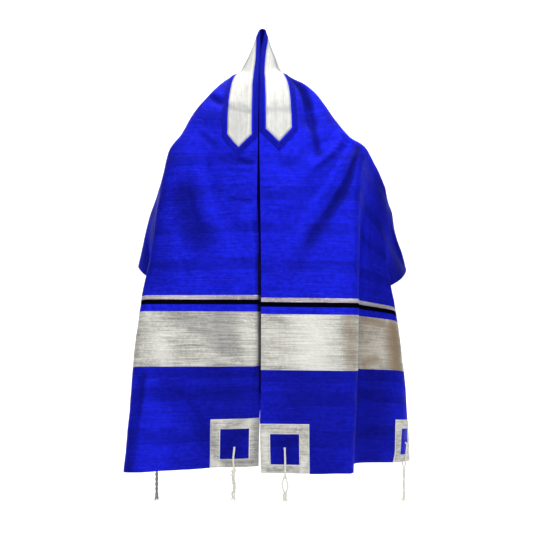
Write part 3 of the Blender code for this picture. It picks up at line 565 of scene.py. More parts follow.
def creaseHeight(along, across):
    # each crease: a ridge exp(-u^2) with a shallow trough at one side, u the signed
    # distance over the half width, fading to nothing at both ends
    along = np.broadcast_to(along[:, None], across.shape)
    height = np.zeros(across.shape)
    t = np.linspace(0.0, 1.0, foldShape["parts"] + 1)
    (wide, gain), (depth, place, width) = foldShape["creaseWidth"], foldShape["trough"]
    for side, a0, c0, a1, c1, a2, c2, halfWidth, rise in creases:
        reach = foldShape["reach"] * halfWidth
        near = (along * side > min(a0, a1, a2) - reach) & (along * side < max(a0, a1, a2) + reach)
        near &= (across > min(c0, c1, c2) - reach) & (across < max(c0, c1, c2) + reach)
        if not near.any():
            continue
        atA, atC = along[near] * side, across[near]
        lineA = a0 * (1 - t) ** 2 + (4 * a1 - a0 - a2) * t * (1 - t) + a2 * t**2
        lineC = c0 * (1 - t) ** 2 + (4 * c1 - c0 - c2) * t * (1 - t) + c2 * t**2
        best, signed, along01 = np.full(atA.shape, 9.0), np.zeros(atA.shape), np.zeros(atA.shape)
        for k in range(len(t) - 1):
            s, away, sign = fromRun(atA, atC, (lineA[k], lineC[k]), (lineA[k + 1], lineC[k + 1]))
            closer = away < best
            best = np.where(closer, away, best)
            signed = np.where(closer, away * sign, signed)
            along01 = np.where(closer, (k + s) / (len(t) - 1), along01)
        u = signed / (halfWidth * (wide + gain * along01))
        fade = np.sin(np.pi * np.clip(0.06 + 0.92 * along01, 0, 1)) ** foldShape["fade"]
        ridge, trough = np.exp(-(u**2)), np.exp(-(((u - place) / width) ** 2))
        height[near] += rise * fade * (ridge - depth * trough)
    return height


def paintedShade(along, across, name):
    # painted shade, and painted highlights below 0, from soft strokes
    # the largest and the smallest of amount * (1 - 3d^2 + 2d^3) over the strokes, added, d
    # being the distance to the stroke over its half width, at most 1
    along = np.broadcast_to(np.asarray(along)[:, None], across.shape)
    deeper, lighter = np.zeros(across.shape), np.zeros(across.shape)
    for side, a0, c0, a1, c1, halfWidth, amount in shadeStrokes[name]:
        _, away, _ = fromRun(along, across, (a0 * side, c0), (a1 * side, c1))
        stroke = amount * (1 - smoothStep(away / halfWidth))
        deeper, lighter = np.maximum(deeper, stroke), np.minimum(lighter, stroke)
    return np.clip(deeper + lighter, -1.0, 2.0)


def ripples(along, across):
    # long weak waves over the whole cloth, each
    # rise * sin(p along + bend * sin(q across + start)) * sin(r across + s along),
    # and puckers beside the seams across it
    along = np.broadcast_to(along[:, None], across.shape)
    height = np.zeros(across.shape)
    for rise, p, bend, q, start, r, s in longWaves:
        wave = np.sin(along * p + bend * np.sin(across * q + start))
        height += rise * wave * np.sin(across * r + along * s)
    for seam in puckers["seams"]:
        beside = np.exp(-(((np.abs(along) - seam) / puckers["reach"]) ** 2))
        sway = 1.3 * np.sin(across * 37 + seam * 50 + along * 3)
        wave = across * 2 * np.pi / puckers["length"] + sway
        height += puckers["height"] * beside * np.sin(wave)
    return height


def draped(along, across):
    # the plain drape, moved along its normal by the sum of all heights
    height = foldHeight(along, across) + creaseHeight(along, across) + ripples(along, across)
    return plainDrape(along, across) + outwardOf(plainDrape, along, across) * height[..., None]


def gridLines(start, stop, cell, marks=()):
    # lines no wider apart than a cell that pass through the marks
    stops = sorted({start, stop, *[m for m in marks if start + 1e-6 < m < stop - 1e-6]})
    made = [start]
    for a, b in zip(stops[:-1], stops[1:]):
        count = max(1, math.ceil((b - a) / cell - 1e-6))
        made.extend(a + (b - a) * i / count for i in range(1, count + 1))
    return np.array(made)


def meshObject(name, points, faces, finish, attributes=()):
    mesh = bpy.data.meshes.new(name)
    mesh.from_pydata(points.tolist(), [], faces.tolist())
    for label, values in attributes:
        layer = mesh.attributes.new(label, "FLOAT", "POINT")
        layer.data.foreach_set("value", np.ascontiguousarray(values, np.float32))
    mesh.polygons.foreach_set("use_smooth", [True] * len(mesh.polygons))
    mesh.materials.append(finish)
    made = bpy.data.objects.new(name, mesh)
    bpy.context.scene.collection.objects.link(made)
    return made


def clothWall(name, rows, columns, low, high, finish, tone, keep=None, seam=None):
    # a closed wall between draped + normal * low and draped + normal * high. Cells that
    # keep marks false are left out, and the wall is closed round them
    columns = np.asarray(columns, float)
    if columns.ndim == 1:
        columns = np.tile(columns, (len(rows), 1))
    rows = np.asarray(rows, float)
    rowCount, columnCount = columns.shape
    keep = np.ones((rowCount - 1, columnCount - 1), bool) if keep is None else keep
    outer = draped(rows, columns)
    normal = unit(np.cross(np.gradient(outer, axis=0), np.gradient(outer, axis=1)))
    lift = np.broadcast_to(np.asarray(high, float), columns.shape)[..., None]
    top = (outer + normal * lift).reshape(-1, 3)
    bottom = (outer + normal * low).reshape(-1, 3)
    count = len(top)
    index = np.arange(count).reshape(rowCount, columnCount)
    p, q, r, s = index[:-1, :-1], index[:-1, 1:], index[1:, 1:], index[1:, :-1]
    faces = [np.stack([s, r, q, p], -1)[keep], np.stack([p, q, r, s], -1)[keep] + count]
    ringed = np.zeros((rowCount + 1, columnCount + 1), bool)
    ringed[1:-1, 1:-1] = keep
    inner = ringed[1:-1, 1:-1]
    for beside, first, last in (
        (ringed[:-2, 1:-1], p, q), (ringed[1:-1, 2:], q, r),
        (ringed[2:, 1:-1], r, s), (ringed[1:-1, :-2], s, p),
    ):
        edge = inner & ~beside
        a, b = first[edge], last[edge]
        faces.append(np.stack([a, b, b + count, a + count], -1))
    faces = np.vstack(faces)
    used = np.unique(faces)
    renumber = np.zeros(2 * count, int)
    renumber[used] = np.arange(len(used))
    along = np.tile(np.repeat(rows, columnCount), 2)[used]
    across = np.tile(columns.ravel(), 2)[used]
    seamValues = np.full(2 * count, 1.0) if seam is None else np.tile(seam.ravel(), 2)
    # painted shade from the strokes, and on the inner face at least the painted shade of the inside
    shade = paintedShade(rows, columns, tone).ravel()
    shade = np.concatenate([shade, np.maximum(shade, inside[tone])])
    return meshObject(
        name,
        np.vstack([top, bottom])[used],
        renumber[faces],
        finish,
        [("along", along), ("across", across), ("seam", seamValues[used]), ("shade", shade[used])],
    )


class Socket:
    # wraps a node's socket, so that a sum or product of sockets and numbers adds its
    # Math nodes
    def __init__(self, finish, end):
        self.finish, self.end = finish, end

    def maths(self, operation, *values):
        return self.finish.node("ShaderNodeMath", {"operation": operation}, dict(enumerate(values)))

    def __add__(self, other):
        return self.maths("ADD", self, other)

    def __radd__(self, other):
        return self.maths("ADD", other, self)

    def __sub__(self, other):
        return self.maths("SUBTRACT", self, other)

    def __rsub__(self, other):
        return self.maths("SUBTRACT", other, self)

    def __mul__(self, other):
        return self.maths("MULTIPLY", self, other)

    def __rmul__(self, other):
        return self.maths("MULTIPLY", other, self)

    def sine(self):
        return self.maths("SINE", self)

    def size(self):
        return self.maths("ABSOLUTE", self)

    def within(self):
        # held between 0 and 1
        return self.finish.node("ShaderNodeClamp", {}, {"Value": self})

    def rise(self, low, high):
        # 0 at low, 1 at high, smooth between
        return self.finish.node(
            "ShaderNodeMapRange", {"interpolation_type": "SMOOTHSTEP"},
            {"Value": self, "From Min": low, "From Max": high},
        )


class Finish:
    # a material with one Principled BSDF, and the one method that adds its other nodes
    def __init__(self, name, **constants):
        self.material = bpy.data.materials.new(name)
        self.material.use_nodes = True
        self.tree = self.material.node_tree
        self.shader = self.tree.nodes["Principled BSDF"]
        for label, value in constants.items():
            self.shader.inputs[label.replace("_", " ")].default_value = value

    def node(self, kind, settings, values, output=0):
        made = self.tree.nodes.new(kind)
        for name, value in settings.items():
            setattr(made, name, value)
        for name, value in values.items():
            if isinstance(value, Socket):
                self.tree.links.new(value.end, made.inputs[name])
            else:
                made.inputs[name].default_value = value
        return Socket(self, made.outputs[output])

    def attribute(self, name):
        return self.node("ShaderNodeAttribute", {"attribute_name": name}, {}, "Fac")

    def noise(self, x, y, z, detail=1.0, roughness=0.5):
        vector = self.node("ShaderNodeCombineXYZ", {}, {"X": x, "Y": y, "Z": z})
        return self.node(
            "ShaderNodeTexNoise", {},
            {"Vector": vector, "Scale": 1.0, "Detail": detail, "Roughness": roughness},
        )

    def mix(self, factor, first, second):
        values = {0: factor, 6: first, 7: second}
        return self.node("ShaderNodeMix", {"data_type": "RGBA"}, values, 2)

    def bump(self, height, strength, distance):
        return self.node(
            "ShaderNodeBump", {}, {"Height": height, "Strength": strength, "Distance": distance}
        )

    def put(self, name, value):
        self.tree.links.new(value.end, self.shader.inputs[name])


def colour(red, green, blue):
    return (red, green, blue, 1.0)


weave = {
    "pitch": 0.0011,  # from thread to thread
    "stitch": 0.0030,  # from stitch to stitch
    "ribs": (900, 17),  # how often a pattern repeats a metre, along and across
    "streaks": (420, 8),
    "slubs": (520, 24),
    "clouds": (19, 13),
    "drift": (16, 7),
    "patches": (34, 15),
    "crumple": (150, 110),
    "flecks": (700, 210),
    "wander": 0.0012,  # how far the ribs wander off straight
    "crackle": 3,  # how far the crumples do, in repeats
    "bump": 0.0006,  # depth of the relief
    "softEdge": 0.0006,  # of the tone-on-tone stripes
    "thread": (0.0002, 0.0007),  # where a line of stitches fades, from its middle
    "groove": (0.0004, 0.0018),  # and the groove that it pulls in
    # where a pattern starts to show, and where it shows in full
    "slubCut": (0.66, 0.80), "fleckCut": (0.60, 0.72),
    "patchCut": (0.35, 0.62), "dashCut": (-0.75, -0.35),
    # how much each counts in the tone, the roughness and the relief
    "ribTone": 0.42, "streakTone": 0.34, "cloudTone": 0.24, "patchTone": 0.65, "stitchTone": 0.8,
    "streakRough": 0.18, "slubRough": 0.06, "stripeRough": 0.10, "foldRough": 0.12,
    "ribRelief": 0.9, "slubRelief": 0.8, "streakRelief": 0.3, "threadRelief": 0.12,
    "stripeRelief": 0.5, "grooveRelief": 1.6, "stitchRelief": 1.0,
    "slant": 1.37,  # of the dashes, so that they show on edges along and across
    "middle": 0.01,  # where the right half's painted shade colour takes over from the left's
    "shadeStrength": (0.86, 0.28),  # strength of the painted shade in folds and on sides away from the light, and what streaks add
    # strength of the painted highlights
    "brightTone": 0.6,
}
fullTurn = 6.283
# near-black of the painted shadow in the slit where the left front edge turns in
nearBlack = (0.004, 0.003, 0.012)


def lines(distance, insets, fade):
    # 1 on a line at each inset, with a smooth fall to 0 over the fade beside it, all added
    drawn = [1 - (distance - inset).size().rise(*fade) for inset in insets]
    return sum(drawn[1:], drawn[0])


def boxes(distance, spans):
    # 1 between the two ends of each span, with soft edges, all added
    soft = weave["softEdge"]
    drawn = [
        (distance - start).rise(-soft, soft) * (stop - distance).rise(-soft, soft)
        for start, stop in spans
    ]
    return sum(drawn[1:], drawn[0])


def slubbedSilk(name, look):
    # dupion: fine ribs across the cloth, thicker slubs here and there, a soft sheen
    made = Finish(
        name, Metallic=look["metal"], Specular_IOR_Level=look["gloss"],
        Specular_Tint=colour(*look["sheen"]),
    )
    along, across = made.attribute("along"), made.attribute("across")
    shade = made.attribute("shade")
    if look.get("turned"):  # this piece is cut with its weft along the band
        along, across = across, along

    def pattern(kind, at, seed, detail=1.0, roughness=0.5):
        repeats = weave[kind]
        place = (at * repeats[0], across * repeats[1], look["seed"] + seed)
        return made.noise(*place, detail, roughness)

    drift = pattern("drift", along, 3.0) - 0.5
    wandering = along + drift * weave["wander"]
    ribs = pattern("ribs", wandering, 0.0, 2.0, 0.6)
    streaks = pattern("streaks", wandering, 7.0, 2.0, 0.65)
    clouds = pattern("clouds", along, 5.0, 2.0)
    slubs = pattern("slubs", wandering, 11.0).rise(*weave["slubCut"])
    turns = fullTurn / weave["pitch"]
    threads = (along * turns).sine() * (across * turns).sine()
    crumpled = along + drift * (weave["crackle"] / weave["crumple"][0])
    crumple = pattern("crumple", crumpled, 23.0, 2.0, 0.6)
    tone = ribs * weave["ribTone"] + streaks * weave["streakTone"] + clouds * weave["cloudTone"]
    tone = tone + (crumple - 0.5) * look["crumpleTone"]
    tone = tone.rise(0.5 - look["spread"], 0.5 + look["spread"])
    base = made.mix(tone, colour(*look["dark"]), colour(*look["light"]))
    base = made.mix(slubs * look["slubTone"], base, colour(*look["slub"]))
    rough = look["rough"] + (streaks - 0.5) * weave["streakRough"] - slubs * weave["slubRough"]
    height = ribs * weave["ribRelief"] + slubs * weave["slubRelief"]
    height = height + streaks * weave["streakRelief"] + threads * weave["threadRelief"]
    height = height + crumple * look["crumple"]
    # flecks of the slub colour, partly lighter slub yarn and partly painted glints
    flecks = pattern("flecks", along, 31.0, 2.0).rise(*weave["fleckCut"])
    base = made.mix(flecks * look["fleckTone"], base, colour(*look["slub"]))
    if look.get("stripes"):
        # tone-on-tone stripes along the weft, on both halves
        striped = boxes(along.size(), look["stripes"])
        patches = pattern("patches", along, 17.0).rise(*weave["patchCut"])
        uneven = (1 - weave["patchTone"]) + weave["patchTone"] * patches
        strength = striped * look["stripeTone"] * uneven
        base = made.mix(strength, base, colour(*look["stripe"]))
        rough = rough - striped * weave["stripeRough"]
        height = height - striped * ribs * weave["stripeRelief"]
    if look.get("stitches"):
        # dashes along lines at set distances from the edge, each in a groove
        seam, run = made.attribute("seam"), along + across * weave["slant"]
        dashes = (run * (fullTurn / weave["stitch"])).sine().rise(*weave["dashCut"])
        stitch = lines(seam, look["stitches"], weave["thread"]) * dashes
        groove = lines(seam, look["stitches"], weave["groove"])
        # the groove beside each stitch line takes the groove colour: painted shade, and on the
        # corner frames a painted highlight along the edge
        base = made.mix(groove * look["grooveTone"], base, colour(*look["groove"]))
        base = made.mix(stitch * weave["stitchTone"], base, colour(*look["thread"]))
        height = height - groove * weave["grooveRelief"] + stitch * weave["stitchRelief"]
    # painted shade: the shade attribute takes the colour towards the deep colour, over 1 towards
    # near-black for the painted shadow in the slit, and under 0 towards the painted highlight
    # colour
    deep = colour(*look["deep"])
    if look.get("deepRight"):
        onRight = along.rise(-weave["middle"], weave["middle"])
        deep = made.mix(onRight, deep, colour(*look["deepRight"]))
    shadeDepth = weave["shadeStrength"][0] + weave["shadeStrength"][1] * streaks
    base = made.mix((shade * shadeDepth).within(), base, deep)
    base = made.mix((shade - 1).within(), base, colour(*nearBlack))
    base = made.mix((0 - shade).within() * weave["brightTone"], base, colour(*look["bright"]))
    made.put("Base Color", base)
    made.put("Roughness", rough + shade.within() * weave["foldRough"])
    made.put("Normal", made.bump(height, look["relief"], weave["bump"]))
    return made.material


# In each look, deep is the colour of the painted shade and bright that of the painted highlight
blueLook = {
    "dark": (0.0070, 0.0090, 0.420), "light": (0.013, 0.020, 0.760), "slub": (0.035, 0.050, 0.95),
    "deep": (0.0030, 0.0028, 0.050), "bright": (0.020, 0.030, 0.95),
    "slubTone": 0.45, "rough": 0.56, "gloss": 0.10, "metal": 0.36,
    "sheen": (0.06, 0.09, 1.0), "relief": 0.75, "crumple": 1.0, "seed": 1.7,
    "fleckTone": 0.20, "crumpleTone": 0.45, "spread": 0.20,
    "stripe": (0.0040, 0.0060, 0.210), "stripeTone": 0.42,
    "stripes": [
        (0.066, 0.090), (0.144, 0.170), (0.222, 0.248), (0.298, 0.325), (0.366, 0.395),
        (0.443, 0.466), (0.5195, 0.5443), (0.747, 0.772), (0.7905, 0.8200), (0.872, 0.905),
    ],
}
silverLook = {
    "dark": (0.27, 0.265, 0.240), "light": (0.74, 0.735, 0.67), "slub": (0.95, 0.94, 0.90),
    # deepRight: the painted shade on the right half turns tan, a painted warm reflection
    "deep": (0.17, 0.165, 0.175), "deepRight": (0.22, 0.150, 0.080), "bright": (0.86, 0.86, 0.80),
    "slubTone": 0.85, "rough": 0.36, "gloss": 0.5, "metal": 0.15,
    "sheen": (1.0, 0.98, 0.92), "relief": 1.0, "crumple": 3.0, "seed": 5.1,
    "fleckTone": 0.80, "grooveTone": 0.45, "crumpleTone": 0.12, "spread": 0.12,
}
ivoryLook = {
    **silverLook,
    "dark": (0.56, 0.56, 0.51), "light": (0.88, 0.88, 0.84), "slub": (0.95, 0.95, 0.92),
    "deep": (0.27, 0.28, 0.30), "deepRight": None, "metal": 0.0, "turned": True, "crumple": 1.2,
    "fleckTone": 0.30, "crumpleTone": 0.22, "spread": 0.20,
    # groove: painted shade along the band's stitched edge
    "seed": 9.4, "stitches": [0.0014], "groove": (0.16, 0.17, 0.22), "thread": (0.80, 0.80, 0.78),
}
borderLook = {
    **blueLook,
    # groove: painted shade in the stitch grooves
    "stripes": None, "stitches": [0.0016, 0.0050, 0.0085], "groove": (0.002, 0.002, 0.06),
    "thread": (0.014, 0.020, 0.62), "grooveTone": 0.85, "seed": 2.9,
}
frameLook = {
    # groove: a painted highlight along the frame's stitched edges
    **silverLook, "deepRight": None, "stitches": [0.0010], "groove": (0.95, 0.94, 0.88),
    "thread": (0.95, 0.94, 0.90), "grooveTone": 0.60, "crumple": 4.0, "crumpleTone": 0.34,
    "spread": 0.17, "seed": 7.7,
}
stripeLook = {
    **silverLook,
    "dark": (0.26, 0.22, 0.27), "light": (0.58, 0.53, 0.60), "deep": (0.05, 0.04, 0.06),
    "deepRight": None, "crumpleTone": 0.05, "seed": 3.3,
}
ribbonLook = {
    **blueLook, "dark": (0.0005, 0.0005, 0.0020), "light": (0.0016, 0.0016, 0.0060),
    "slub": (0.004, 0.004, 0.014), "deep": (0.001, 0.001, 0.002), "gloss": 0.0, "metal": 0.0,
    "stripes": None, "seed": 6.2, "sheen": (0.6, 0.6, 0.9),
}
blueSilk = slubbedSilk("blueSilk", blueLook)
silverSilk = slubbedSilk("silverSilk", silverLook)
ivorySilk = slubbedSilk("ivorySilk", ivoryLook)
borderSilk = slubbedSilk("borderSilk", borderLook)
frameSilk = slubbedSilk("frameSilk", frameLook)
stripeSilk = slubbedSilk("stripeSilk", stripeLook)
ribbon = slubbedSilk("ribbon", ribbonLook)


def woolFinish(name, dark, light):
    made = Finish(name, Metallic=0.0, Sheen_Weight=0.25, Sheen_Roughness=0.6, Roughness=0.85)
    place = made.node("ShaderNodeTexCoord", {}, {}, "Object")
    fuzz = made.node("ShaderNodeTexNoise", {}, {"Vector": place, "Scale": 900.0, "Detail": 2.0})
    made.put("Base Color", made.mix(fuzz.rise(0.3, 0.7), colour(*dark), colour(*light)))
    made.put("Normal", made.bump(fuzz, 0.6, 0.0005))
    return made.material


wool = woolFinish("wool", (0.60, 0.58, 0.49), (0.90, 0.89, 0.82))
# a darker copy of the wool: painted shade for the back left tassel, which hangs in shadow
shadedWool = woolFinish("shadedWool", (0.12, 0.12, 0.12), (0.52, 0.52, 0.50))
print("finishes made")

# The main cloth, the stripes, bands and end panels
ends = {
    # where each piece starts, along the cloth
    "whiteStripe": 0.597, "blackStripe": 0.606, "blueStrip": 0.616,
    "silverBand": 0.631, "endPanel": 0.747,
    # the tassel holes: width, and how far from the long edges
    "hole": 0.0042, "holeInset": 0.051,
}
# How far each hole is from its hem
holeHeights = {"front_right": 0.051, "front_left": 0.041, "back_right": 0.046, "back_left": 0.046}
frames = {
    "size": 0.102, "bar": 0.021,
    "hemBar": 0.018,  # the bar along the hem
    "area": 0.0066,  # of one frame's four bars, laid flat
}
half = cloth["halfLength"]
holeLines = [ends["holeInset"] - ends["hole"] / 2, ends["holeInset"] + ends["hole"] / 2]
frameLines = [frames["bar"], frames["size"] - frames["bar"], frames["size"]]
neck = {
    "width": 0.054, "border": 0.0135, "halfLength": 0.281,
    "shift": -0.007,  # the band's middle, off the held point
    "point": 0.027,  # length of the pointed ends
    "extra": 0.019,  # how far the border reaches beyond the band's point
    "outer": 0.0675,  # the band's outer edge
    "whole": 0.081,  # width with both borders
}
hemLines = [0.0008, 0.0022, 0.4915, 0.4932, 0.4992]  # grid lines near the long edges
acrossMarks = [*hemLines, *frameLines, *holeLines]
acrossMarks += [cloth["width"] - at for at in (*frameLines, *holeLines)]
bandLines = [neck["border"], neck["outer"], neck["whole"]]
mainColumns = gridLines(0.0, cloth["width"], cloth["cell"], [*hemLines, *bandLines])
endColumns = gridLines(0.0, cloth["width"], cloth["fineCell"], acrossMarks)
peakLines = [0.0, 0.001, 0.002, 0.004, 0.006, 0.008, 0.011, 0.014, 0.018, 0.022, 0.028, 0.034]
peakMarks = [*peakLines, *[-at for at in peakLines]]
seamShape = {
    "sink": 0.00035,  # how deep the face sinks at a seam
    "reach": 0.0012,  # and how far beside it
    "lines": (0.0006, 0.0014, 0.0026),  # grid lines beside it
}


def edgeLift(rows, columns, start, stop):
    # the face sinks at a seam by sink * exp(-(distance / reach)^2)
    along = np.abs(np.broadcast_to(np.asarray(rows)[:, None], (len(rows), len(columns))))
    lift = np.zeros(along.shape)
    for seam in (start, stop):
        if 0.0 < abs(seam) < half - 1e-6:
            away = (along - abs(seam)) / seamShape["reach"]
            lift -= seamShape["sink"] * np.exp(-(away**2))
    return lift


def ride(piece, slot, *nodes):
    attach(piece, "root")
    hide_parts(*nodes)
    return piece


def strip(node, start, stop, columns, cell, finish, slot, tone, marks=(), keep=None):
    # one length of the cloth between two seams
    beside = [sign * at for at in seamShape["lines"] for sign in (1, -1)]
    seams = [seam + at for seam in (start, stop) for at in beside]
    rows = gridLines(start, stop, cell, [*marks, *seams])
    kept = keep(rows, columns) if keep else None
    lift = edgeLift(rows, columns, start, stop)
    wall = clothWall(node + "Cloth", rows, columns, -cloth["wall"], lift, finish, tone, kept)
    return ride(wall, slot, node)


mainCloth = strip(
    "main_cloth", -ends["whiteStripe"], ends["whiteStripe"], mainColumns, cloth["cell"],
    blueSilk, "blue_silk", "blue", peakMarks,
)
print("main cloth made")

tassels = [
    # corner, side, at the lower long edge, turns of the two runs, their spread, length, lean
    ("front_right", 1, False, 0.5, 0.0040, 0.094, 0.0010),
    ("front_left", -1, False, 3.0, 0.0006, 0.093, 0.0034),
    ("back_right", 1, True, 1.5, 0.0026, 0.122, -0.0010),
    ("back_left", -1, True, 3.5, 0.0004, 0.124, 0.0010),
]


def holesLeft(side):
    def keep(rows, columns):
        # cells of the two tassel holes are left out
        rowMiddle, columnMiddle = (rows[1:] + rows[:-1]) / 2, (columns[1:] + columns[:-1]) / 2
        kept = np.ones((len(rowMiddle), len(columnMiddle)), bool)
        word = "right" if side > 0 else "left"
        inset = ends["holeInset"]
        for place, at in (("front", inset), ("back", cloth["width"] - inset)):
            middle = side * (half - holeHeights[f"{place}_{word}"])
            inRow = np.abs(rowMiddle - middle) < ends["hole"] / 2
            kept &= ~np.outer(inRow, np.abs(columnMiddle - at) < ends["hole"] / 2)
        return kept
    return keep


for sideName, side in (("right", 1), ("left", -1)):
    for name, node, stop, finish, slot, tone in (
        ("whiteStripe", "white_stripe", "blackStripe", stripeSilk, "ivory_silk", "blue"),
        ("blackStripe", "black_stripe", "blueStrip", ribbon, "black_ribbon", "blue"),
        ("blueStrip", "blue_strip", "silverBand", blueSilk, "blue_silk", "blue"),
        ("silverBand", "silver_band", "endPanel", silverSilk, "silver_silk", "silver"),
    ):
        low, high = sorted((side * ends[name], side * ends[stop]))
        shape = (low, high, endColumns, cloth["fineCell"])
        strip(f"{node}_{sideName}", *shape, finish, slot, tone)
    low, high = sorted((side * ends["endPanel"], side * half))
    marks = [side * (half - at) for at in (*hemLines[:2], frames["hemBar"], *frameLines)]
    for place in ("front", "back"):
        height = holeHeights[f"{place}_{sideName}"]
        marks += [side * (half - height + sign * ends["hole"] / 2) for sign in (1, -1)]
    strip(
        f"end_panel_{sideName}", low, high, endColumns, cloth["fineCell"], blueSilk,
        "blue_silk", "blue", marks, holesLeft(side),
    )
print("bands and end panels made")


# The trims lie on the cloth: the lift of their lower and upper faces, their edges and grid
trims = {
    "border": (0.0003, 0.0013), "band": (0.0016, 0.0026), "frame": (0.0003, 0.0013),
    "drop": 0.0005,  # how far the face drops at an edge
    "reach": 0.0009,  # and how far in from it
    "cell": 0.0026,
    "bandLines": (0.0, 0.0006, 0.0016, 0.0035),  # grid lines inside an edge
    "frameLines": (0.0007, 0.0018, 0.0040),
}


def edgeDrop(seam):
    # an edge rounds off by drop * exp(-(distance / reach)^2)
    return trims["drop"] * np.exp(-((np.maximum(seam, 0.0) / trims["reach"]) ** 2))


# The neckband and its border
def pointedBand(node, halfTotal, point, near, far, low, high, finish, slot, tone):
    # a band whose width shrinks straight to a point at both ends: each column moves to
    # the middle by the share of the point that is left
    fine, cell = trims["bandLines"], trims["cell"]
    shoulder = halfTotal - point
    rows = gridLines(
        neck["shift"] - halfTotal + fine[1], neck["shift"] + halfTotal - fine[1], cell,
        [*peakMarks, neck["shift"] - shoulder, neck["shift"] + shoulder],
    )
    columns = gridLines(near, far, cell, [*[near + at for at in fine], *[far - at for at in fine]])
    middle = (near + far) / 2
    toEnd = halfTotal - np.abs(rows - neck["shift"])
    left = np.clip(toEnd / point, 0.0, 1.0)
    across = middle + left[:, None] * (columns - middle)[None, :]
    toEdge = np.minimum(across - near, far - across)
    steep = point / ((far - near) / 2)
    toPoint = toEnd[:, None] - np.abs(across - middle) * steep
    seam = np.minimum(toEdge, toPoint / math.hypot(1.0, steep))
    lift = high - edgeDrop(seam)
    piece = clothWall(node + "Cloth", rows, across, low, lift, finish, tone, None, seam)
    return ride(piece, slot, node)


borderHalf, borderPoint = neck["halfLength"] + neck["extra"], neck["point"] + neck["border"]
border = pointedBand(
    "neckband_border", borderHalf, borderPoint, 0.0, neck["whole"],
    *trims["border"], borderSilk, "blue_silk", "blue",
)
neckband = pointedBand(
    "neckband", neck["halfLength"], neck["point"], neck["border"], neck["outer"],
    *trims["band"], ivorySilk, "ivory_silk", "band",
)
for piece, wide, halfTotal, point in (
    (border, neck["whole"], borderHalf, borderPoint),
    (neckband, neck["width"], neck["halfLength"], neck["point"]),
):
    2 * halfTotal
    wide * 2 * (halfTotal - point / 2)
print("neckband made")


def cornerFrame(corner, side, farCorner):
    # a square ring of cloth, its inner cells left out
    edge, inner = side * half, side * (half - frames["size"])
    fine, (low, high) = trims["frameLines"], trims["frame"]
    window = sorted((inner + side * frames["bar"], edge - side * frames["hemBar"]))
    rowMarks = [*window]
    for at in (*sorted((edge, inner)), *window):
        rowMarks += [at + sign * step for step in fine for sign in (1, -1)]
    rows = gridLines(*sorted((edge, inner)), cloth["fineCell"], rowMarks)
    first = cloth["width"] - frames["size"] if farCorner else 0.0
    span = (first + frames["bar"], first + frames["size"] - frames["bar"])
    columnMarks = [*span]
    for at in (first, first + frames["size"], *span):
        columnMarks += [at + sign * step for step in fine for sign in (1, -1)]
    columns = gridLines(first, first + frames["size"], cloth["fineCell"], columnMarks)
    rowMiddle, columnMiddle = (rows[1:] + rows[:-1]) / 2, (columns[1:] + columns[:-1]) / 2
    inRow = (rowMiddle > window[0]) & (rowMiddle < window[1])
    inColumn = (columnMiddle > span[0]) & (columnMiddle < span[1])
    a, c = np.meshgrid(rows, columns, indexing="ij")
    toSides = [a - min(edge, inner), max(edge, inner) - a, c - first, first + frames["size"] - c]
    fromWindow = [window[0] - a, a - window[1], span[0] - c, c - span[1]]
    seam = np.minimum(np.min(toSides, axis=0), np.abs(np.max(fromWindow, axis=0)))
    node = f"corner_frame_{corner}"
    kept, lift = ~np.outer(inRow, inColumn), high - edgeDrop(seam)
    piece = clothWall(node + "Cloth", rows, columns, low, lift, frameSilk, "frame", kept, seam)
    ride(piece, "silver_silk", node)


for corner, side, farCorner, *_ in tassels:
    cornerFrame(corner, side, farCorner)
print("corner frames made")

cord = {
    "radius": 0.0019, "clearance": 0.0004,
    "front": 0.0016, "back": 0.0013,  # the faces that the cord passes, from the cloth's face
    "ply": 0.00104,  # radius of one of its three strands
    "plies": (0.0, 2.094, 4.189),  # their places round the cord
    "turn": 0.0085,  # length of one turn of the strands
    "knot": 0.0034, "wrap": 0.0013, "wraps": 3.4, "knotHeight": 0.0062,
    "strands": 18,  # loose ends below the knot
    "tail": 0.014, "tailWidth": 0.00085, "tailSpread": 0.0040, "tailBend": 0.0016,
    "sides": 6,
}


def smoothPath(points, count):
    # evenly spaced points on a Catmull-Rom curve through the given ones
    points = np.asarray(points, float)
    points = np.vstack([2 * points[0] - points[1], points, 2 * points[-1] - points[-2]])
    t = np.linspace(0.0, 1.0, 24)[:-1, None]
    p0, p1, p2, p3 = points[:-3, None], points[1:-2, None], points[2:-1, None], points[3:, None]
    squared, cubed = 2 * p0 - 5 * p1 + 4 * p2 - p3, 3 * p1 - p0 - 3 * p2 + p3
    made = 0.5 * (2 * p1 + (p2 - p0) * t + squared * t**2 + cubed * t**3)
    made = np.vstack([made.reshape(-1, 3), points[-2]])
    reach = np.concatenate([[0.0], np.cumsum(np.linalg.norm(np.diff(made, axis=0), axis=1))])
    at = np.linspace(0.0, reach[-1], count)
    return np.stack([np.interp(at, reach, made[:, k]) for k in range(3)], axis=1), reach[-1]


def pathSides(path):
    # two directions square to the path at each point: its cross product with a fixed
    # direction that no cord follows, and its cross product with that
    ahead = unit(np.gradient(path, axis=0))
    sideways = unit(np.cross(ahead, (0.31, 0.88, 0.36)))
    return sideways, np.cross(ahead, sideways)


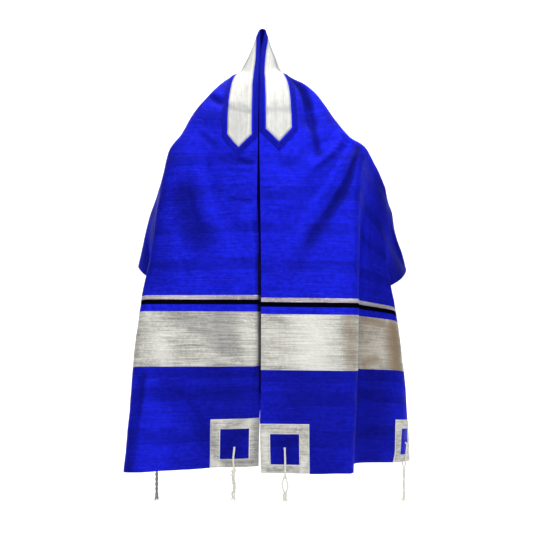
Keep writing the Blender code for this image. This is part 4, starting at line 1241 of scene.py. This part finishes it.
def tubes(paths, radii, sides):
    # closed tubes with flat ends: a ring of corners at every point of every path, each at
    # p + r * (cos(a) * one + sin(a) * two)
    allPoints, allFaces, start = [], [], 0
    turns = np.arange(sides) * 2 * np.pi / sides
    for path, radius in zip(paths, radii):
        one, two = pathSides(path)
        radius = np.broadcast_to(np.asarray(radius, float), (len(path),))[:, None, None]
        spokes = np.cos(turns)[:, None] * one[:, None] + np.sin(turns)[:, None] * two[:, None]
        ring = (path[:, None] + radius * spokes).reshape(-1, 3)
        ring = np.vstack([ring, path[0], path[-1]])
        n = len(path)
        index = np.arange(n * sides).reshape(n, sides)
        a, b = index[:-1], index[1:]
        quads = np.stack([a, b, np.roll(b, -1, 1), np.roll(a, -1, 1)], -1).reshape(-1, 4)
        first, last = index[0], index[-1]
        lid0 = np.stack([np.full(sides, n * sides), first, np.roll(first, -1)], -1)
        lid1 = np.stack([np.full(sides, n * sides + 1), np.roll(last, -1), last], -1)
        allPoints.append(ring)
        allFaces.append((quads + start, lid0 + start, lid1 + start))
        start += len(ring)
    points = np.vstack(allPoints)
    faces = [f.tolist() for group in allFaces for part in group for f in part]
    return points, faces


def tassel(corner, side, farCorner, turns, spread, length, lean, seed):
    # a cord through the corner's hole and round the hem, whose two runs turn round each
    # other below it: at share s of the way down they are apart by
    # out * cos(a) * r + wide * sin(a) * (r + spread * sin(pi s)), a = 2 pi turns s
    rng = np.random.default_rng(seed)
    inset = cloth["width"] - ends["holeInset"] if farCorner else ends["holeInset"]
    height = holeHeights[corner]
    front = cord["front"] + cord["radius"] + cord["clearance"]
    back = -cord["back"] - cord["radius"] - cord["clearance"]
    holeAt = side * (half - height)

    def onCloth(below, lift, aside=0.0):
        rows, columns = np.array([holeAt + side * below]), np.array([[inset + aside]])
        return (draped(rows, columns) + outwardOf(draped, rows, columns) * lift)[0, 0]

    out = outwardOf(draped, np.array([holeAt]), np.array([[inset]]))[0, 0]
    wide = unit(np.cross(out, (0.0, 0.0, 1.0)))
    down = np.array([0.0, 0.0, -1.0])
    hemMiddle = (onCloth(height, front) + onCloth(height, back)) / 2 + down * 0.003
    gap = (front - back) / 2
    bottom = hemMiddle + down * (length - height) + wide * lean * 0.4
    share = np.linspace(0.0, 1.0, 25)[:, None]
    sway = wide * lean * 0.5 * np.sin(2 * np.pi * share)
    middle = hemMiddle + (bottom - hemMiddle) * share + sway
    apart = gap + (0.0019 - gap) * smoothStep(share * 3)
    angle = 2 * np.pi * turns * share
    looped = apart + spread * np.sin(np.pi * share)
    away = out * np.cos(angle) * apart + wide * np.sin(angle) * looped
    through = np.stack([
        onCloth(0.55 * height, front, lean * 0.4),
        onCloth(0.0040, front), onCloth(0.0, (front + back) / 2), onCloth(0.0040, back),
        onCloth(0.55 * height, back),
    ])
    route = np.vstack([(middle + away)[::-1], through, middle - away])
    path, reach = smoothPath(route, 260)
    one, two = pathSides(path)
    twist = np.linspace(0, reach / cord["turn"] * 2 * np.pi, len(path))[:, None]
    paths, radii = [], []
    for ply in cord["plies"]:
        offset = np.cos(twist + ply) * one + np.sin(twist + ply) * two
        paths.append(path + offset * cord["ply"] * 1.05)
        radii.append(np.full(len(path), cord["ply"]))
    # the knot: wraps round the two runs, a helix
    t = np.linspace(0, 1, 80)[:, None]
    wrap = t * cord["wraps"] * 2 * np.pi
    ring = np.cos(wrap) * wide * cord["knot"] + np.sin(wrap) * out * cord["knot"] * 0.8
    paths.append(bottom + ring + down * (t - 0.5) * cord["knotHeight"])
    radii.append(np.full(len(t), cord["wrap"]))
    # loose ends below the knot, each a strand that bends away and thins
    t = np.linspace(0, 1, 11)[:, None]
    for k in range(cord["strands"]):
        turn = k * 2.4 + rng.uniform(-0.4, 0.4)
        aside = wide * math.cos(turn) + out * math.sin(turn)
        tail = cord["tail"] * rng.uniform(0.6, 1.0)
        bend = unit(rng.normal(size=3)) * cord["tailBend"]
        strand = bottom + aside * 0.0014 + down * (0.0010 + tail * t)
        paths.append(strand + aside * cord["tailSpread"] * t**1.6 + bend * np.sin(np.pi * t))
        radii.append(cord["tailWidth"] * (1 - 0.5 * t[:, 0]))
    points, faces = tubes(paths, radii, cord["sides"])
    mesh = bpy.data.meshes.new(f"tassel_{corner}Cord")
    mesh.from_pydata(points.tolist(), [], faces)
    mesh.polygons.foreach_set("use_smooth", [True] * len(mesh.polygons))
    # the back left tassel gets the darker wool, its painted shade
    mesh.materials.append(shadedWool if corner == "back_left" else wool)
    made = bpy.data.objects.new(mesh.name, mesh)
    bpy.context.scene.collection.objects.link(made)
    return ride(made, "white_wool", f"tassel_{corner}")


for number, (corner, *shape) in enumerate(tassels):
    tassel(corner, *shape, 11 + number)
print("tassels made")

stage = {
    "floor": -1.32, "back": 2.6, "wide": 9.0, "front": -4.0, "round": 1.0, "high": 5.0,
    "paper": (0.93, 0.93, 0.93), "worldLight": 0.10,
}


def backdrop():
    # a floor that curves up into a wall: two straight runs joined by a quarter circle
    turn = np.linspace(0, np.pi / 2, 24)
    curve = stage["back"] - stage["round"] + stage["round"] * np.sin(turn)
    y = np.concatenate([[stage["front"]], curve, [stage["back"]]])
    z = np.concatenate([[0.0], stage["round"] * (1 - np.cos(turn)), [stage["high"]]])
    z = z + stage["floor"]
    x = np.array([-stage["wide"], stage["wide"]])
    points = np.stack([np.tile(x, len(y)), np.repeat(y, 2), np.repeat(z, 2)], -1)
    i = np.arange(len(y) - 1) * 2
    faces = np.stack([i, i + 1, i + 3, i + 2], -1)
    paper = Finish("paper", Roughness=0.9)
    paper.shader.inputs["Base Color"].default_value = colour(*stage["paper"])
    return meshObject("backdrop", points, faces, paper.material)


backdrop()


lights = [
    # name, place, what it points at, size, power
    ("keyLight", (0.45, -1.7, 1.25), (0.0, 0.0, -0.35), (0.6, 0.6), 50),
    ("fillLight", (-0.5, -3.0, -0.1), (0.0, 0.0, -0.6), (1.4, 1.4), 14),
    ("topLight", (-0.5, -0.3, 2.0), (0.0, 0.0, -0.3), (0.9, 0.9), 7),
    ("wallLight", (0.0, 0.9, 2.4), (0.0, 2.6, -0.4), (5.0, 1.2), 170),
]


def areaLight(name, place, aim, size, power):
    lamp = bpy.data.lights.new(name, "AREA")
    lamp.shape, lamp.size, lamp.size_y = "RECTANGLE", *size
    lamp.energy = power
    made = bpy.data.objects.new(name, lamp)
    made.location = place
    away = np.asarray(place, float) - np.asarray(aim, float)
    made.rotation_euler = (
        math.atan2(math.hypot(away[0], away[1]), away[2]), 0.0, math.atan2(away[0], -away[1])
    )
    bpy.context.scene.collection.objects.link(made)


for light in lights:
    areaLight(*light)

world = bpy.data.worlds.new("studio")
world.use_nodes = True
world.node_tree.nodes["Background"].inputs["Color"].default_value = colour(1.0, 1.0, 1.0)
world.node_tree.nodes["Background"].inputs["Strength"].default_value = stage["worldLight"]
bpy.context.scene.world = world
bpy.context.scene.view_settings.view_transform = "Standard"  # keeps the blue as deep as dyed silk

view = {
    "place": (0.009, -1.57, -0.583),
    "sensor": 36.0,
    "width": 533,  # of the picture, in pixels
    "focal": 725,  # focal length, in pixels
    "shift": 31.5,  # how far the picture is shifted, in pixels
}
lens = bpy.data.cameras.new("camera")
lens.sensor_width = view["sensor"]
lens.lens = view["sensor"] * view["focal"] / view["width"]
lens.shift_y = view["shift"] / view["width"]
camera = bpy.data.objects.new("camera", lens)
camera.location = view["place"]
camera.rotation_euler = (math.pi / 2, 0.0, 0.0)
bpy.context.scene.collection.objects.link(camera)
bpy.context.scene.camera = camera
print("stage made")
